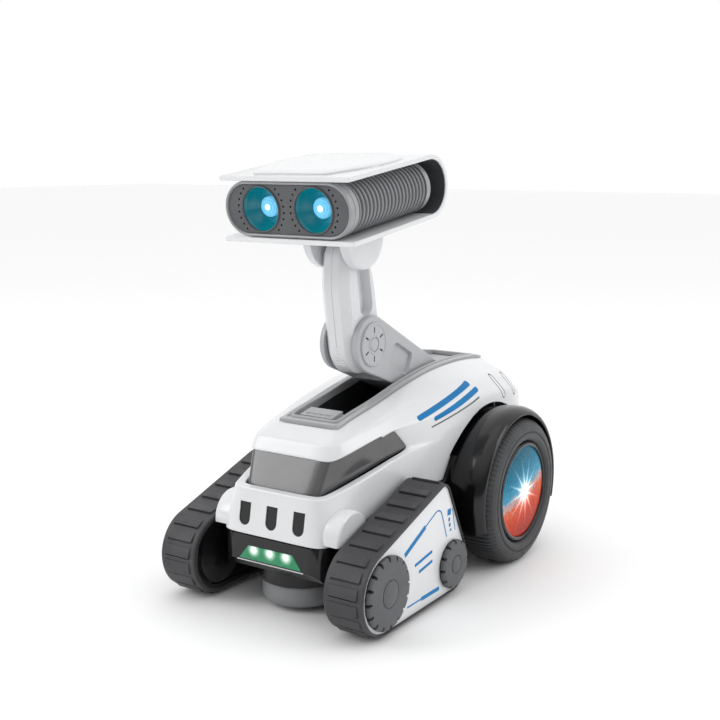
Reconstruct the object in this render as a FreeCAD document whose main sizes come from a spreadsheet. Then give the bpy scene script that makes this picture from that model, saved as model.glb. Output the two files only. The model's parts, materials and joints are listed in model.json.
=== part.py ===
import FreeCAD, Part
import math
import os
from FreeCAD import Placement, Rotation, Vector

# Toy rover on two big rear wheels and a swivelling drive drum, with two fixed
# track pods, a folding two-link arm and a binocular head.
# Millimetres. +Z up, the front faces -Y, the rover's own left is +X.
# The origin is on the ground, in the middle of the overall box.

SIZES = {
    # overall
    "rear_end": 97.3, "floor_z": 12.0, "floor_t": 2.2, "chassis_top": 37.6,
    "nose_floor_z": 21.0, "wall": 2.2,
    # rear wheels and fenders
    "axle_y": 49.8, "tyre_r": 39.0, "tyre_x": 45.0, "tyre_out": 66.5, "rim_r": 27.0,
    "lens_r": 24.2, "stub_r": 6.0, "running_gap": 0.06,
    "fender_r": 45.0, "fender_in_r": 40.4, "fender_x": 43.4, "fender_out": 64.0,
    "fender_turn": 216.0, "arch_r": 45.6,
    # track pods
    "pod_in": 38.0, "pod_out": 59.4, "belt_t": 2.2, "pod_front_y": -75.8, "pod_front_z": 21.7,
    "pod_front_r": 20.0, "pod_top_y": -24.5, "pod_top_z": 53.0, "pod_top_r": 6.8,
    "pod_rear_y": -15.5, "pod_rear_z": 17.3, "pod_rear_r": 14.8, "lug_t": 1.1, "lug_w": 3.4,
    "front_disc_r": 17.3, "rear_disc_r": 12.2, "disc_pin_r": 2.0,
    # drive drum
    "drum_y": -59.0, "drum_r": 20.0, "drum_neck_r": 18.0, "drum_low": 2.5, "drum_step": 13.8,
    "collar_r": 21.0, "drive_r": 8.0, "gear_module": 0.5,
    # arm
    "shoulder_y": 48.0, "shoulder_z": 93.0, "shoulder_r": 11.0,
    "elbow_y": -14.3, "elbow_z": 122.0, "elbow_r": 14.4,
    "fork_half": 11.5, "link_half": 8.25, "link_r": 15.3, "link_neck_r": 11.4,
    "link_chamfer": 3.9, "pin_r": 2.5, "well_half": 12.9, "well_floor": 78.5,
    # trim
    "trim_half": 17.5, "trim_front": -54.0, "trim_rear": 92.0, "trim_t": 3.0,
    "slot_front": -34.7, "slot_rear": 62.0,
    # head, in its own level frame: origin at the middle of the face
    "head_y": -69.8, "head_z": 190.3, "head_tilt": 8.0, "head_half": 36.85, "head_deep": 69.5,
    "wrap_half": 15.5, "plate_t": 2.3, "tube_half": 13.0, "tube_wide": 36.0, "tube_t": 2.5,
    "bezel_deep": 7.0, "bezel_t": 1.6, "tube_end": 66.0, "ring_deep": 4.0, "eye_x": 15.1, "eye_r": 10.2,
    "pivot_back": 43.6, "pivot_down": 32.0, "turn_top": 15.7, "turn_t": 4.5, "turn_r": 22.5,
    "ear_in": 8.6, "ear_t": 5.2, "ear_r": 16.4,
    # inside
    "cell_r": 7.2, "cell_long": 50.0, "cell_pitch": 15.6, "cell_z": 22.4,
    "board_z": 35.0, "board_t": 1.6,
}

doc = FreeCAD.newDocument("RobotCar")
sheet = doc.addObject("Spreadsheet::Sheet", "dims")
for row, (alias, number) in enumerate(SIZES.items(), start=1):
    sheet.set(f"A{row}", alias)
    sheet.set(f"B{row}", str(number))
    sheet.setAlias(f"B{row}", alias)
doc.recompute()
D = {alias: float(sheet.get(alias)) for alias in SIZES}
PARTS = {}


def bound(text):
    """An expression in which each driving dimension is read from the sheet."""
    words = str(text).split(" ")
    return " ".join("dims." + word if word in SIZES else word for word in words)


def turn(axis, degrees):
    return Rotation(Vector(*axis), degrees)


ALONG = {"X": turn((0, 1, 0), 90), "Y": turn((1, 0, 0), -90), "Z": Rotation()}


def keep(label, item):
    """Name a finished piece: its label is also its file's name."""
    item.Label = label
    PARTS[label] = item
    return item


def cylinder(name, radius, length, at, along="Z"):
    item = doc.addObject("Part::Cylinder", name)
    item.setExpression("Radius", bound(radius))
    item.setExpression("Height", bound(length))
    item.Placement = Placement(Vector(*at), ALONG[along])
    return item


def block(name, length, width, height, at):
    """A box whose corner with the lowest x, y and z is at the given place."""
    item = doc.addObject("Part::Box", name)
    item.setExpression("Length", bound(length))
    item.setExpression("Width", bound(width))
    item.setExpression("Height", bound(height))
    item.Placement = Placement(Vector(*at), Rotation())
    return item


def fuse(name, items):
    item = doc.addObject("Part::MultiFuse", name)
    item.Shapes = items
    return item


def cut(name, base, tools):
    item = doc.addObject("Part::Cut", name)
    item.Base = base
    item.Tool = tools[0] if len(tools) == 1 else fuse(name + "_tools", tools)
    return item


def common(name, items):
    item = doc.addObject("Part::MultiCommon", name)
    item.Shapes = items
    return item


def group(name, items):
    """Separate solids that share one node."""
    item = doc.addObject("Part::Compound", name)
    item.Links = items
    return item


def mirrored(name, source):
    item = doc.addObject("Part::Mirroring", name)
    item.Source = source
    item.Normal = Vector(1, 0, 0)
    return item


def arc(centre, radius, start, end):
    """The arc that turns anticlockwise from the start angle to the end angle."""
    sweep = (end - start) % (2 * math.pi)
    spots = []
    for share in (0.0, 0.5, 1.0):
        angle = start + sweep * share
        spots.append(Vector(centre[0] + radius * math.cos(angle),
                            centre[1] + radius * math.sin(angle), 0))
    return Part.Arc(*spots)


def belt_outline(circles):
    """The line of a belt round circles (u, v, radius), listed anticlockwise."""
    count = len(circles)
    normals = []
    for i in range(count):
        u, v, radius = circles[i]
        next_u, next_v, next_radius = circles[(i + 1) % count]
        heading = math.atan2(next_v - v, next_u - u)
        span = math.hypot(next_u - u, next_v - v)
        normals.append(heading - math.pi / 2 + math.asin((radius - next_radius) / span))
    edges = []
    for i in range(count):
        u, v, radius = circles[i]
        start, end = normals[i - 1], normals[i]
        if radius > 0 and (end - start) % (2 * math.pi) > 1e-6:
            edges.append(arc((u, v), radius, start, end))
        next_u, next_v, next_radius = circles[(i + 1) % count]
        first = Vector(u + radius * math.cos(end), v + radius * math.sin(end), 0)
        last = Vector(next_u + next_radius * math.cos(end),
                      next_v + next_radius * math.sin(end), 0)
        edges.append(Part.LineSegment(first, last))
    return edges


def polygon(points):
    spots = [Vector(u, v, 0) for u, v in points]
    return [Part.LineSegment(spots[i - 1], spots[i]) for i in range(len(spots))]


def stadium(half_wide, half_high):
    """A long round-ended outline about the origin."""
    reach = half_wide - half_high
    return belt_outline([(-reach, 0, half_high), (reach, 0, half_high)])


def sketch_on(body, plane, outline, offset=0.0):
    sketch = body.newObject("Sketcher::SketchObject", body.Name + "_sketch")
    support = [item for item in body.Origin.OriginFeatures if item.Role == plane]
    sketch.AttachmentSupport = [(support[0], "")]
    sketch.MapMode = "FlatFace"
    sketch.AttachmentOffset = Placement(Vector(0, 0, offset), Rotation())
    for edge in outline:
        sketch.addGeometry(edge)
    return sketch


def pad(name, outline, start, length, plane="YZ_Plane"):
    """An outline pushed out along the plane's axis, from start, by length."""
    body = doc.addObject("PartDesign::Body", name)
    sketch = sketch_on(body, plane, outline, start)
    feature = body.newObject("PartDesign::Pad", name + "_pad")
    feature.Profile = sketch
    feature.setExpression("Length", bound(length))
    return body


def along_y(name, outline, start, length):
    """An outline in x and z, pushed from start towards +Y by a number of mm."""
    return pad(name, outline, -(start + length), str(length), "XZ_Plane")


def turned(name, points, degrees="360"):
    """A profile of points (x, radius) turned about the X axis."""
    body = doc.addObject("PartDesign::Body", name)
    sketch = sketch_on(body, "XY_Plane", polygon(points))
    feature = body.newObject("PartDesign::Revolution", name + "_turn")
    feature.Profile = sketch
    feature.ReferenceAxis = (sketch, ["H_Axis"])
    feature.setExpression("Angle", bound(degrees))
    return body


def outline_at(name, outline, x):
    """A sketch of an outline in y and z, standing at one place along X."""
    sketch = doc.addObject("Sketcher::SketchObject", name)
    for edge in outline:
        sketch.addGeometry(edge)
    sketch.Placement = Placement(Vector(x, 0, 0), Rotation(Vector(1, 1, 1), 120))
    return sketch


def placed(item, at, rotation=Rotation()):
    item.Placement = Placement(Vector(*at), rotation)
    return item


# ---------------------------------------------------------------- body shell
# Half outlines of the shell across the rover, front to rear: y, then (half
# width, height) at the hem, the belt line, the ledge, the eave, the shoulder
# and the edge of the trim.
SECTIONS = [
    (-90.0, [(31.4, 30.0), (27.6, 60.0), (23.5, 60.2), (23.6, 75.6), (22.6, 80.0), (17.5, 81.5)]),
    (-70.0, [(32.6, 30.0), (30.2, 61.5), (25.6, 61.7), (26.2, 75.6), (24.8, 81.5), (17.5, 84.0)]),
    (-50.0, [(34.0, 30.0), (32.6, 65.5), (28.6, 65.7), (29.4, 79.5), (27.0, 85.6), (17.5, 88.0)]),
    (-30.0, [(35.4, 30.0), (34.8, 70.0), (32.0, 70.2), (32.8, 83.4), (29.0, 89.2), (17.5, 92.0)]),
    (-12.0, [(37.2, 30.0), (37.4, 72.0), (37.2, 72.4), (36.8, 84.0), (31.0, 92.2), (17.5, 95.8)]),
    (10.0, [(41.2, 30.0), (42.2, 72.0), (42.2, 72.4), (41.0, 85.5), (33.8, 94.8), (17.5, 99.8)]),
    (35.0, [(44.0, 30.0), (45.5, 75.0), (45.4, 75.4), (43.6, 88.0), (36.4, 97.4), (17.5, 102.8)]),
    (60.0, [(44.0, 30.0), (45.5, 75.0), (45.4, 75.4), (43.8, 88.4), (36.6, 98.0), (17.5, 103.4)]),
    (84.0, [(43.4, 30.0), (45.0, 74.0), (44.9, 74.4), (42.6, 87.6), (34.6, 97.6), (17.5, 102.4)]),
    (97.3, [(37.0, 30.0), (38.6, 70.0), (38.4, 70.4), (35.6, 81.0), (28.6, 89.6), (17.5, 94.6)]),
]
ROOF_LINE = [(y, half[-1][1]) for y, half in SECTIONS]


def shell_form(name, inset):
    """The shell's solid shape, drawn in by an inset on every side but below."""
    rings = []
    for index, (y, half) in enumerate(SECTIONS):
        right = [(wide - inset, high) for wide, high in half[:-2]]
        right.append((half[-2][0] - inset * 0.8, half[-2][1] - inset * 0.7))
        right.append((half[-1][0], half[-1][1] - inset))
        left = [(-wide, high) for wide, high in reversed(right)]
        ring = doc.addObject("Sketcher::SketchObject", f"{name}_section_{index}")
        for edge in polygon(right + left):
            ring.addGeometry(edge)
        ring.Placement = Placement(Vector(0, y, 0), turn((1, 0, 0), 90))
        rings.append(ring)
    hull = doc.addObject("Part::Loft", name + "_hull")
    hull.Sections = rings
    hull.Solid = True
    hull.Ruled = True
    side = [(-85.3 + inset, 28.0), (-85.3 + inset, 38.3), (-81.5 + inset, 60.2 - inset),
            (-76.8 + inset, 60.2 - inset), (-70.6 + inset, 75.6), (-71.4 + inset, 76.4),
            (-68.8 + inset, 82.6 - inset), (-50.0, 110.0), (D["rear_end"] - inset, 110.0),
            (D["rear_end"] - inset, 28.0)]
    outline = pad(name + "_side", polygon(side), -60.0, "120")
    corner = 7.0 - inset
    far = 14.0 - inset
    plan = belt_outline([(-31.3 + inset + corner, -86.0 + inset + corner, corner),
                         (31.3 - inset - corner, -86.0 + inset + corner, corner),
                         (46.0 - inset - far, 20.0, far),
                         (46.0 - inset - far, D["rear_end"] - inset - far, far),
                         (-46.0 + inset + far, D["rear_end"] - inset - far, far),
                         (-46.0 + inset + far, 20.0, far)])
    footprint = pad(name + "_plan", plan, 20.0, "100", "XY_Plane")
    return common(name, [common(name + "_sides", [hull, outline]), footprint])


def trim_strip(name, top, bottom, half, front, rear):
    """A strip that follows the roof line, from bottom to top above that line."""
    line = [(y, high) for y, high in ROOF_LINE if front < y < rear]
    ends = []
    for spot in (front, rear):
        before = [item for item in ROOF_LINE if item[0] <= spot][-1]
        after = [item for item in ROOF_LINE if item[0] > spot][0]
        share = (spot - before[0]) / (after[0] - before[0])
        ends.append((spot, before[1] + share * (after[1] - before[1])))
    path = [ends[0]] + line + [ends[1]]
    upper = [(y, high + top) for y, high in path]
    lower = [(y, high + bottom) for y, high in reversed(path)]
    return pad(name, polygon(upper + lower), -half, str(2 * half))


BAND = [(-96.0, 60.2), (-76.0, 60.2), (-19.0, 73.2), (-29.6, 83.7), (-66.0, 75.8), (-96.0, 75.8)]
HEM = [(-96.0, 20.0), (-96.0, 38.3), (-72.0, 38.6), (-52.0, 45.5), (-10.0, 50.0), (6.0, 56.0),
       (6.0, 20.0)]


def wheel_zone(name, radius, side, start=39.8, length=30.0):
    """A cylinder about the rear axle on one side of the rover."""
    low = start if side > 0 else -start - length
    return cylinder(name, radius, length, (low, D["axle_y"], D["tyre_r"]), "X")


slots = []
for index in range(3):
    x = (index - 1) * 15.6
    circle = belt_outline([(x, 47.0, 2.9), (x, 53.0, 2.9)])
    flat = polygon([(x - 2.9, 47.0), (x + 2.9, 47.0), (x + 2.9, 56.0), (x - 2.9, 56.0)])
    slots.append(along_y(f"slot_round_{index}", circle, -90.0, 16.0))
    slots.append(along_y(f"slot_flat_{index}", flat, -90.0, 16.0))

shell_tools = [
    shell_form("shell_inside", D["wall"]),
    pad("window_band", polygon(BAND), -50.0, "100"),
    pad("hem_line", polygon(HEM), -60.0, "120"),
    block("hem_rear", 120, 100, 24, (-60, 5.9, 20)),
    trim_strip("trim_seat", 4.0, -D["trim_t"], D["trim_half"], D["trim_front"], D["trim_rear"]),
    wheel_zone("arch_left", "arch_r", 1),
    wheel_zone("arch_right", "arch_r", -1),
] + slots
keep("body_shell", cut("shell_cut", shell_form("shell_outside", 0.0), shell_tools))

visor_ring = cut("visor_ring", shell_form("visor_outside", 0.9), [shell_form("visor_inside", 3.0)])
keep("window_visor", common("visor", [visor_ring, pad("visor_band", polygon(BAND), -50.0, "100")]))

# ---------------------------------------------------------------- trim and arm well
trim_blank = trim_strip("trim_blank", 0.9, -D["trim_t"], D["trim_half"], D["trim_front"],
                        D["trim_rear"])
slot_length = D["slot_rear"] - D["slot_front"]
arm_slot = block("arm_slot", "2 * well_half", slot_length, 60,
                 (-D["well_half"], D["slot_front"], 70))
front_recess = trim_strip("front_recess", 6.0, -1.6, D["well_half"], -50.5, -30.0)
rear_recess = trim_strip("rear_recess", 6.0, -1.6, D["well_half"], 60.0, 88.5)
trim_open = cut("trim_open", trim_blank, [arm_slot, front_recess, rear_recess])
detail = [trim_strip("detail_base", 1.6, -1.65, 9.6, -47.8, -38.2)]
for index in range(4):
    x = -7.4 + index * 3.9
    bump = block(f"detail_bump_{index}", 2.8, 4.6, 4.0, (x, -45.4, 87.0))
    detail.append(bump)
keep("top_trim", fuse("trim", [trim_open] + detail))

well_outer = D["well_half"] + 1.8
well_blank = trim_strip("well_blank", -D["trim_t"], -40.0, well_outer, -36.6, 64.0)
well_under = block("well_under", 60, 120, 30, (-30, -45, D["well_floor"] - 30))
well_space = block("well_space", "2 * well_half", slot_length, 60,
                   (-D["well_half"], D["slot_front"], D["well_floor"] + 1.8))
pin_seat = cylinder("well_pin_seat", "pin_r", 60, (-30, D["shoulder_y"], D["shoulder_z"]), "X")
keep("arm_well", cut("well", well_blank, [well_under, well_space, pin_seat]))
keep("shoulder_pin", cylinder("shoulder_pin_rod", "pin_r", 2 * well_outer,
                              (-well_outer, D["shoulder_y"], D["shoulder_z"]), "X"))

# ---------------------------------------------------------------- chassis
def tub_plan(inset):
    corner = 9.0 - inset
    return belt_outline([(-30.6 + inset + corner, -84.8 + inset + corner, corner),
                         (30.6 - inset - corner, -84.8 + inset + corner, corner),
                         (33.6 - inset - corner, -46.0, corner),
                         (40.0 - inset - corner, 22.0, corner),
                         (40.0 - inset - corner, 94.6 - inset - corner, corner),
                         (-40.0 + inset + corner, 94.6 - inset - corner, corner),
                         (-40.0 + inset + corner, 22.0, corner),
                         (-33.6 + inset + corner, -46.0, corner)])


TUB_TOP = [(-97.0, D["chassis_top"]), (-72.0, D["chassis_top"] + 0.3), (-52.0, 44.9), (-10.0, 49.4),
           (5.7, 55.4), (5.8, 43.5), (98.0, 43.5), (98.0, 70.0), (-97.0, 70.0)]
tub_blank = pad("tub_blank", tub_plan(0.0), D["floor_z"], "50", "XY_Plane")
above_tub = pad("above_tub", polygon(TUB_TOP), -60.0, "120")
nose_under = block("nose_under", 90, 60, "nose_floor_z - floor_z + 1",
                   (-45, -97, D["floor_z"] - 1))
nose_chin = pad("nose_chin", polygon([(-90.0, 20.0), (-80.2, 20.0), (-84.8, 25.2), (-90.0, 25.2)]),
                -40.0, "80")
tub_space = pad("tub_space", tub_plan(D["wall"]), D["floor_z"] + D["floor_t"], "50", "XY_Plane")
nose_floor = block("nose_floor_plate", 90, 60, "nose_floor_z - floor_z + floor_t",
                   (-45, -97, D["floor_z"]))
nose_step = block("nose_step", 90, 2.2, "nose_floor_z - floor_z + floor_t",
                  (-45, -37.2, D["floor_z"]))
space = cut("tub_room", tub_space, [nose_floor, nose_step])
tub = cut("tub", tub_blank, [nose_under, nose_chin, above_tub, space])

WELL_WALL = [(0.3, 12.0), (86.0, 12.0), (88.5, 36.0), (82.0, 62.0), (66.0, 76.5), (50.0, 80.5),
             (34.0, 77.0), (18.0, 66.0), (6.8, 51.0), (0.3, 48.0)]
chassis_adds = [tub]
chassis_cuts = []
for side, word in ((1, "left"), (-1, "right")):
    low = 39.9 if side > 0 else -41.9
    chassis_adds.append(pad(f"wheel_wall_{word}", polygon(WELL_WALL), low, "2"))
    low = 38.0 if side > 0 else -55.0
    chassis_adds.append(cylinder(f"stub_{word}", "stub_r", 17, (low, D["axle_y"], D["tyre_r"]), "X"))
    low = 31.0 if side > 0 else -38.0
    for y, z in ((-55.0, 31.0), (-22.0, 31.0)):
        chassis_adds.append(cylinder(f"pod_boss_{word}_{int(-y)}", 4, 7, (low, y, z), "X"))
    low = 48.0 if side > 0 else -56.0
    chassis_cuts.append(cylinder(f"stub_hole_{word}", 1.2, 8, (low, D["axle_y"], D["tyre_r"]), "X"))
for x in (-29.0, 29.0):
    for y in (-27.0, 27.0):
        chassis_adds.append(cylinder(f"board_post_{int(x)}_{int(y)}", 2.6, "board_z - floor_z",
                                     (x, y, D["floor_z"])))
        chassis_cuts.append(cylinder(f"board_hole_{int(x)}_{int(y)}", 1.1, 14, (x, y, 22)))
collar = cylinder("collar_blank", "collar_r", "nose_floor_z - drum_step",
                  (0, D["drum_y"], D["drum_step"]))
chassis_adds.append(collar)
chassis_cuts.append(cylinder("drum_hole", "drum_neck_r + 0.3", 30, (0, D["drum_y"], 5)))
chassis_cuts.append(block("door_hole", 52, 60, 10, (-26, -34, 8)))
chassis_cuts.append(block("switch_hole", 5, 10, 6, (24.0, 58.0, 10)))
lamp = [(-18.4, 26.0), (18.4, 26.0), (13.2, 32.8), (-13.2, 32.8)]
chassis_cuts.append(along_y("lamp_hole", polygon(lamp), -90.0, 10.0))
keep("chassis_base", cut("chassis", fuse("chassis_blank", chassis_adds), chassis_cuts))

keep("light_bar_lens", along_y("light_bar", polygon(lamp), -85.2, 2.6))
keep("nose_led_board", block("nose_board", 34, 1.2, 6.6, (-17, -82.4, 26.0)))
insert_plate = block("insert_plate", 46, 1.4, 14, (-23, -78.6, 43.2))
keep("grille_insert", insert_plate)

# ---------------------------------------------------------------- fenders
fender_profile = [(D["fender_x"] - 1.4, 14.0), (D["fender_x"], 14.0),
                  (D["fender_x"], D["fender_in_r"]), (D["fender_out"], D["fender_in_r"]),
                  (D["fender_out"], 41.4), (62.2, 43.2), (59.0, 44.6), (56.0, D["fender_r"]),
                  (52.0, 44.8), (47.0, 43.9), (D["fender_x"] - 1.4, 42.6)]
half_over = (D["fender_turn"] - 180.0) / 2
fender = placed(turned("fender_body", fender_profile, "fender_turn"),
                (0, D["axle_y"], D["tyre_r"]), turn((1, 0, 0), -half_over))
keep("fenders", group("fender_pair", [fender, mirrored("fender_mirror", fender)]))

# ---------------------------------------------------------------- rear wheels
gap = D["running_gap"]
tyre_profile = [(D["tyre_x"], 27.05), (64.2, 27.05), (65.6, 27.8), (D["tyre_out"], 29.6),
                (D["tyre_out"], 33.0), (65.4, 36.2), (63.2, 38.2), (60.6, D["tyre_r"]),
                (47.0, D["tyre_r"]), (D["tyre_x"], 38.0)]
rim_profile = [(45.6, D["stub_r"] + gap), (54.4, D["stub_r"] + gap), (54.4, 8.6), (48.2, 9.4),
               (48.2, 25.0), (62.4, 25.0), (62.4, D["lens_r"] + 0.1), (65.4, D["lens_r"] + 0.1),
               (65.4, 26.2), (64.0, D["rim_r"]), (45.6, D["rim_r"])]
lens_profile = [(62.6, 0.0), (62.6, D["lens_r"]), (64.4, D["lens_r"]), (65.2, 20.0), (65.9, 12.0),
                (66.2, 0.0)]
for word, side in (("left", 1), ("right", -1)):
    for piece, profile in (("tyre", tyre_profile), ("rim", rim_profile), ("lens", lens_profile)):
        if side > 0:
            item = placed(turned(f"{piece}_body", profile), (0, D["axle_y"], D["tyre_r"]))
        else:
            item = mirrored(f"{piece}_mirror", PARTS[f"rear_{piece}_left"])
        keep(f"rear_{piece}_{word}", item)

# LED boards and LEDs on the ends of the two stubs
board_left = cylinder("hub_board_left", 9, 1.5, (55, D["axle_y"], D["tyre_r"]), "X")
led_left = cylinder("hub_led_left", 2.5, 3.6, (56.5, D["axle_y"], D["tyre_r"]), "X")
keep("hub_led_boards", group("hub_boards", [board_left, mirrored("hub_board_right", board_left)]))
keep("hub_leds", group("hub_led_pair", [led_left, mirrored("hub_led_right", led_left)]))

# ---------------------------------------------------------------- track pods
def pod_circles(inset):
    return [(D["pod_front_y"], D["pod_front_z"], D["pod_front_r"] - inset),
            (D["pod_rear_y"], D["pod_rear_z"], D["pod_rear_r"] - inset),
            (D["pod_top_y"], D["pod_top_z"], D["pod_top_r"] - inset)]


def lug(name, u, v, angle):
    """A raised tread bar at a place on the belt, square to the outward angle."""
    item = block(name, 16, "lug_w", "lug_t + 0.8", (D["pod_in"] + 2.7, 0, 0))
    base = Placement(Vector(0, u, v), turn((1, 0, 0), math.degrees(angle) - 90))
    shift = Placement(Vector(D["pod_in"] + 2.7, -D["lug_w"] / 2, -0.8), Rotation())
    item.Placement = base.multiply(shift)
    return item


belt_blank = pad("belt_blank", belt_outline(pod_circles(0.0)), D["pod_in"], "pod_out - pod_in")
belt_space = pad("belt_space", belt_outline(pod_circles(D["belt_t"])), D["pod_in"] - 1.0,
                 "pod_out - pod_in + 2")
lugs = []
front, rear, top = pod_circles(0.0)
slope_angle = math.atan2(top[1] - front[1], top[0] - front[0])
slope_out = slope_angle + math.pi / 2 + math.asin((front[2] - top[2]) / math.hypot(
    top[0] - front[0], top[1] - front[1]))
slope_from = (front[0] + front[2] * math.cos(slope_out), front[1] + front[2] * math.sin(slope_out))
slope_to = (top[0] + top[2] * math.cos(slope_out), top[1] + top[2] * math.sin(slope_out))
for index in range(5):
    share = 0.10 + 0.19 * index
    u = slope_from[0] + share * (slope_to[0] - slope_from[0])
    v = slope_from[1] + share * (slope_to[1] - slope_from[1])
    lugs.append(lug(f"slope_lug_{index}", u, v, slope_out))
for index in range(6):
    angle = slope_out + math.radians(14 + 24 * index)
    lugs.append(lug(f"front_lug_{index}", front[0] + front[2] * math.cos(angle),
                    front[1] + front[2] * math.sin(angle), angle))
belt = cut("belt_left", fuse("belt_with_lugs", [belt_blank] + lugs), [belt_space])
keep("track_belt_left", belt)
keep("track_belt_right", mirrored("belt_right", belt))

plate_edge = D["belt_t"] + 0.05
plate_face = pad("plate_face", belt_outline(pod_circles(plate_edge)), D["pod_out"] - 3.0, "2.2")
pins = []
for name, spot in (("front", front), ("rear", rear)):
    pins.append(cylinder(f"disc_pin_{name}", "disc_pin_r", 3.4, (D["pod_out"] - 3.0, spot[0],
                                                                  spot[1]), "X"))
plate = fuse("plate_left", [plate_face] + pins)
keep("track_plate_left", plate)
keep("track_plate_right", mirrored("plate_right", plate))

inner_face = pad("inner_face", belt_outline(pod_circles(plate_edge)), D["pod_in"], "2")
inner_boss = turned("inner_boss", [(36.2, 0.0), (36.2, 8.0), (37.2, 12.0), (38.0, 15.0),
                                   (38.5, 15.0), (38.5, 0.0)])
placed(inner_boss, (0, front[0], front[1]))
inner = fuse("inner_left", [inner_face, inner_boss])
keep("track_inner_covers", group("inner_pair", [inner, mirrored("inner_right", inner)]))


def notched_disc(name, spot, radius, notches):
    """A disc with a raised hub and square notches in its rim, on a blind bore."""
    x = D["pod_out"] - 0.7
    blank = turned(name + "_blank", [(x, D["disc_pin_r"] + gap), (x + 1.4, D["disc_pin_r"] + gap),
                                     (x + 1.4, 0.0), (x + 3.0, 0.0), (x + 3.0, radius * 0.30),
                                     (x + 2.4, radius * 0.34), (x + 2.4, radius * 0.86),
                                     (x + 1.6, radius), (x, radius)])
    cutter = block(name + "_notch", 6, radius * 0.13, 4, (x - 1.0, -radius * 0.065, radius - 1.7))
    spin = doc.addObject("Part::Compound", name + "_notches")
    links = []
    for index in range(notches):
        tooth = doc.addObject("Part::Box", f"{name}_notch_{index}")
        tooth.setExpression("Length", f"{cutter.Name}.Length")
        tooth.setExpression("Width", f"{cutter.Name}.Width")
        tooth.setExpression("Height", f"{cutter.Name}.Height")
        where = Placement(Vector(0, 0, 0), turn((1, 0, 0), 360.0 * index / notches))
        tooth.Placement = where.multiply(cutter.Placement)
        links.append(tooth)
    spin.Links = links
    return placed(cut(name, blank, [spin]), (0, spot[0], spot[1]))


for name, spot, radius, notches in (("front_disc", front, D["front_disc_r"], 16),
                                    ("rear_disc", rear, D["rear_disc_r"], 12)):
    disc = notched_disc(name + "_form", spot, radius, notches)
    keep(name + "_left", disc)
    keep(name + "_right", mirrored(name + "_mirror", disc))

# ---------------------------------------------------------------- drive drum
cup_low = cylinder("cup_low", "drum_r", "drum_step - 0.3 - drum_low", (0, D["drum_y"], D["drum_low"]))
cup_neck = cylinder("cup_neck", "drum_neck_r", 11, (0, D["drum_y"], 12.6))
cup_room = cylinder("cup_room", "drum_neck_r - 1.2", 30, (0, D["drum_y"], D["drum_low"] + 1.4))
wheel_gaps = []
for side in (-1, 1):
    wheel_gaps.append(block(f"wheel_gap_{side}", 4.6, 19, 12,
                            (side * 12.8 - 2.3, D["drum_y"] - 9.5, -2)))
wheel_gaps.append(block("axle_gear_gap", 3, 9, 3, (7.9, D["drum_y"] - 4.5, 1.5)))
hollow_cup = cut("hollow_cup", fuse("cup_blank", [cup_low, cup_neck]), [cup_room] + wheel_gaps)
bearings = []
for name, x in (("left", -9.6), ("right", 4.2)):
    bearings.append(block(f"bearing_{name}", 1.4, 5, 7.2, (x, D["drum_y"] - 2.5, D["drum_low"] + 1)))
axle_bore = cylinder("axle_bore", "1 + running_gap", 20, (-12, D["drum_y"], D["drive_r"]), "X")
keep("drum_cup", cut("cup", fuse("cup_with_bearings", [hollow_cup] + bearings), [axle_bore]))
cap_flange = cylinder("cap_flange", 20.6, 1.4, (0, D["drum_y"], 23.6))
cap_dome = cylinder("cap_dome", 17.6, 5.6, (0, D["drum_y"], 23.6))
cap_room = cylinder("cap_room", 16.2, 4.2, (0, D["drum_y"], 23.5))
hollow_cap = cut("hollow_cap", fuse("cap_blank", [cap_flange, cap_dome]), [cap_room])
cap_rib = block("cap_rib", 9, 4, 2.2, (-8.2, D["drum_y"] - 2, 25.9))
keep("drum_cap", fuse("cap", [hollow_cap, cap_rib]))

DRIVE_Z = D["drive_r"]
MOTOR_Z = DRIVE_Z + 12.0
IDLER_Z = DRIVE_Z + 6.0
IDLER_Y = D["drum_y"] + 4.5
motor_can = block("motor_can", 15.6, 15.4, 11.8, (-10.8, D["drum_y"] - 7.7, MOTOR_Z - 5.9))
motor_nose = cylinder("motor_nose", 2.4, 0.8, (4.8, D["drum_y"], MOTOR_Z), "X")
idler_lug = block("idler_lug", 2.4, 5.4, 2.8, (3.2, IDLER_Y - 2.4, MOTOR_Z - 8.0))
idler_pin = cylinder("idler_pin", 0.75, 5.6, (5.4, IDLER_Y, IDLER_Z), "X")
rod_room = cylinder("rod_room", 0.8, 3.6, (4.0, D["drum_y"], MOTOR_Z), "X")
motor_blank = fuse("motor_blank", [motor_can, motor_nose, idler_lug, idler_pin])
keep("drive_motor", cut("motor", motor_blank, [rod_room]))


def gear(name, teeth, start, length, bore):
    """A spur gear about X with straight-sided teeth and running backlash."""
    pitch_r = teeth * D["gear_module"] / 2
    tip_r = pitch_r + 0.62 * D["gear_module"]
    root_r = pitch_r - 0.85 * D["gear_module"]
    step = 2 * math.pi / teeth
    points = []
    for index in range(teeth):
        middle = index * step
        for share, radius in ((-0.33, root_r), (-0.13, tip_r), (0.13, tip_r), (0.33, root_r)):
            angle = middle + share * step
            points.append((radius * math.cos(angle), radius * math.sin(angle)))
    blank = pad(name + "_blank", polygon(points), start, str(length))
    if bore <= 0:
        return blank
    hole = cylinder(name + "_bore", bore, length + 2, (start - 1, 0, 0), "X")
    return cut(name, blank, [hole])


# The pinion's shaft runs in the nose of the motor.
pinion_gear = placed(gear("pinion", 8, 5.8, 2.4, 0), (0, D["drum_y"], MOTOR_Z))
pinion_rod = cylinder("pinion_rod", 0.74, 1.8, (4.1, D["drum_y"], MOTOR_Z), "X")
keep("motor_pinion", fuse("motor_pinion_form", [pinion_gear, pinion_rod]))


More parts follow.
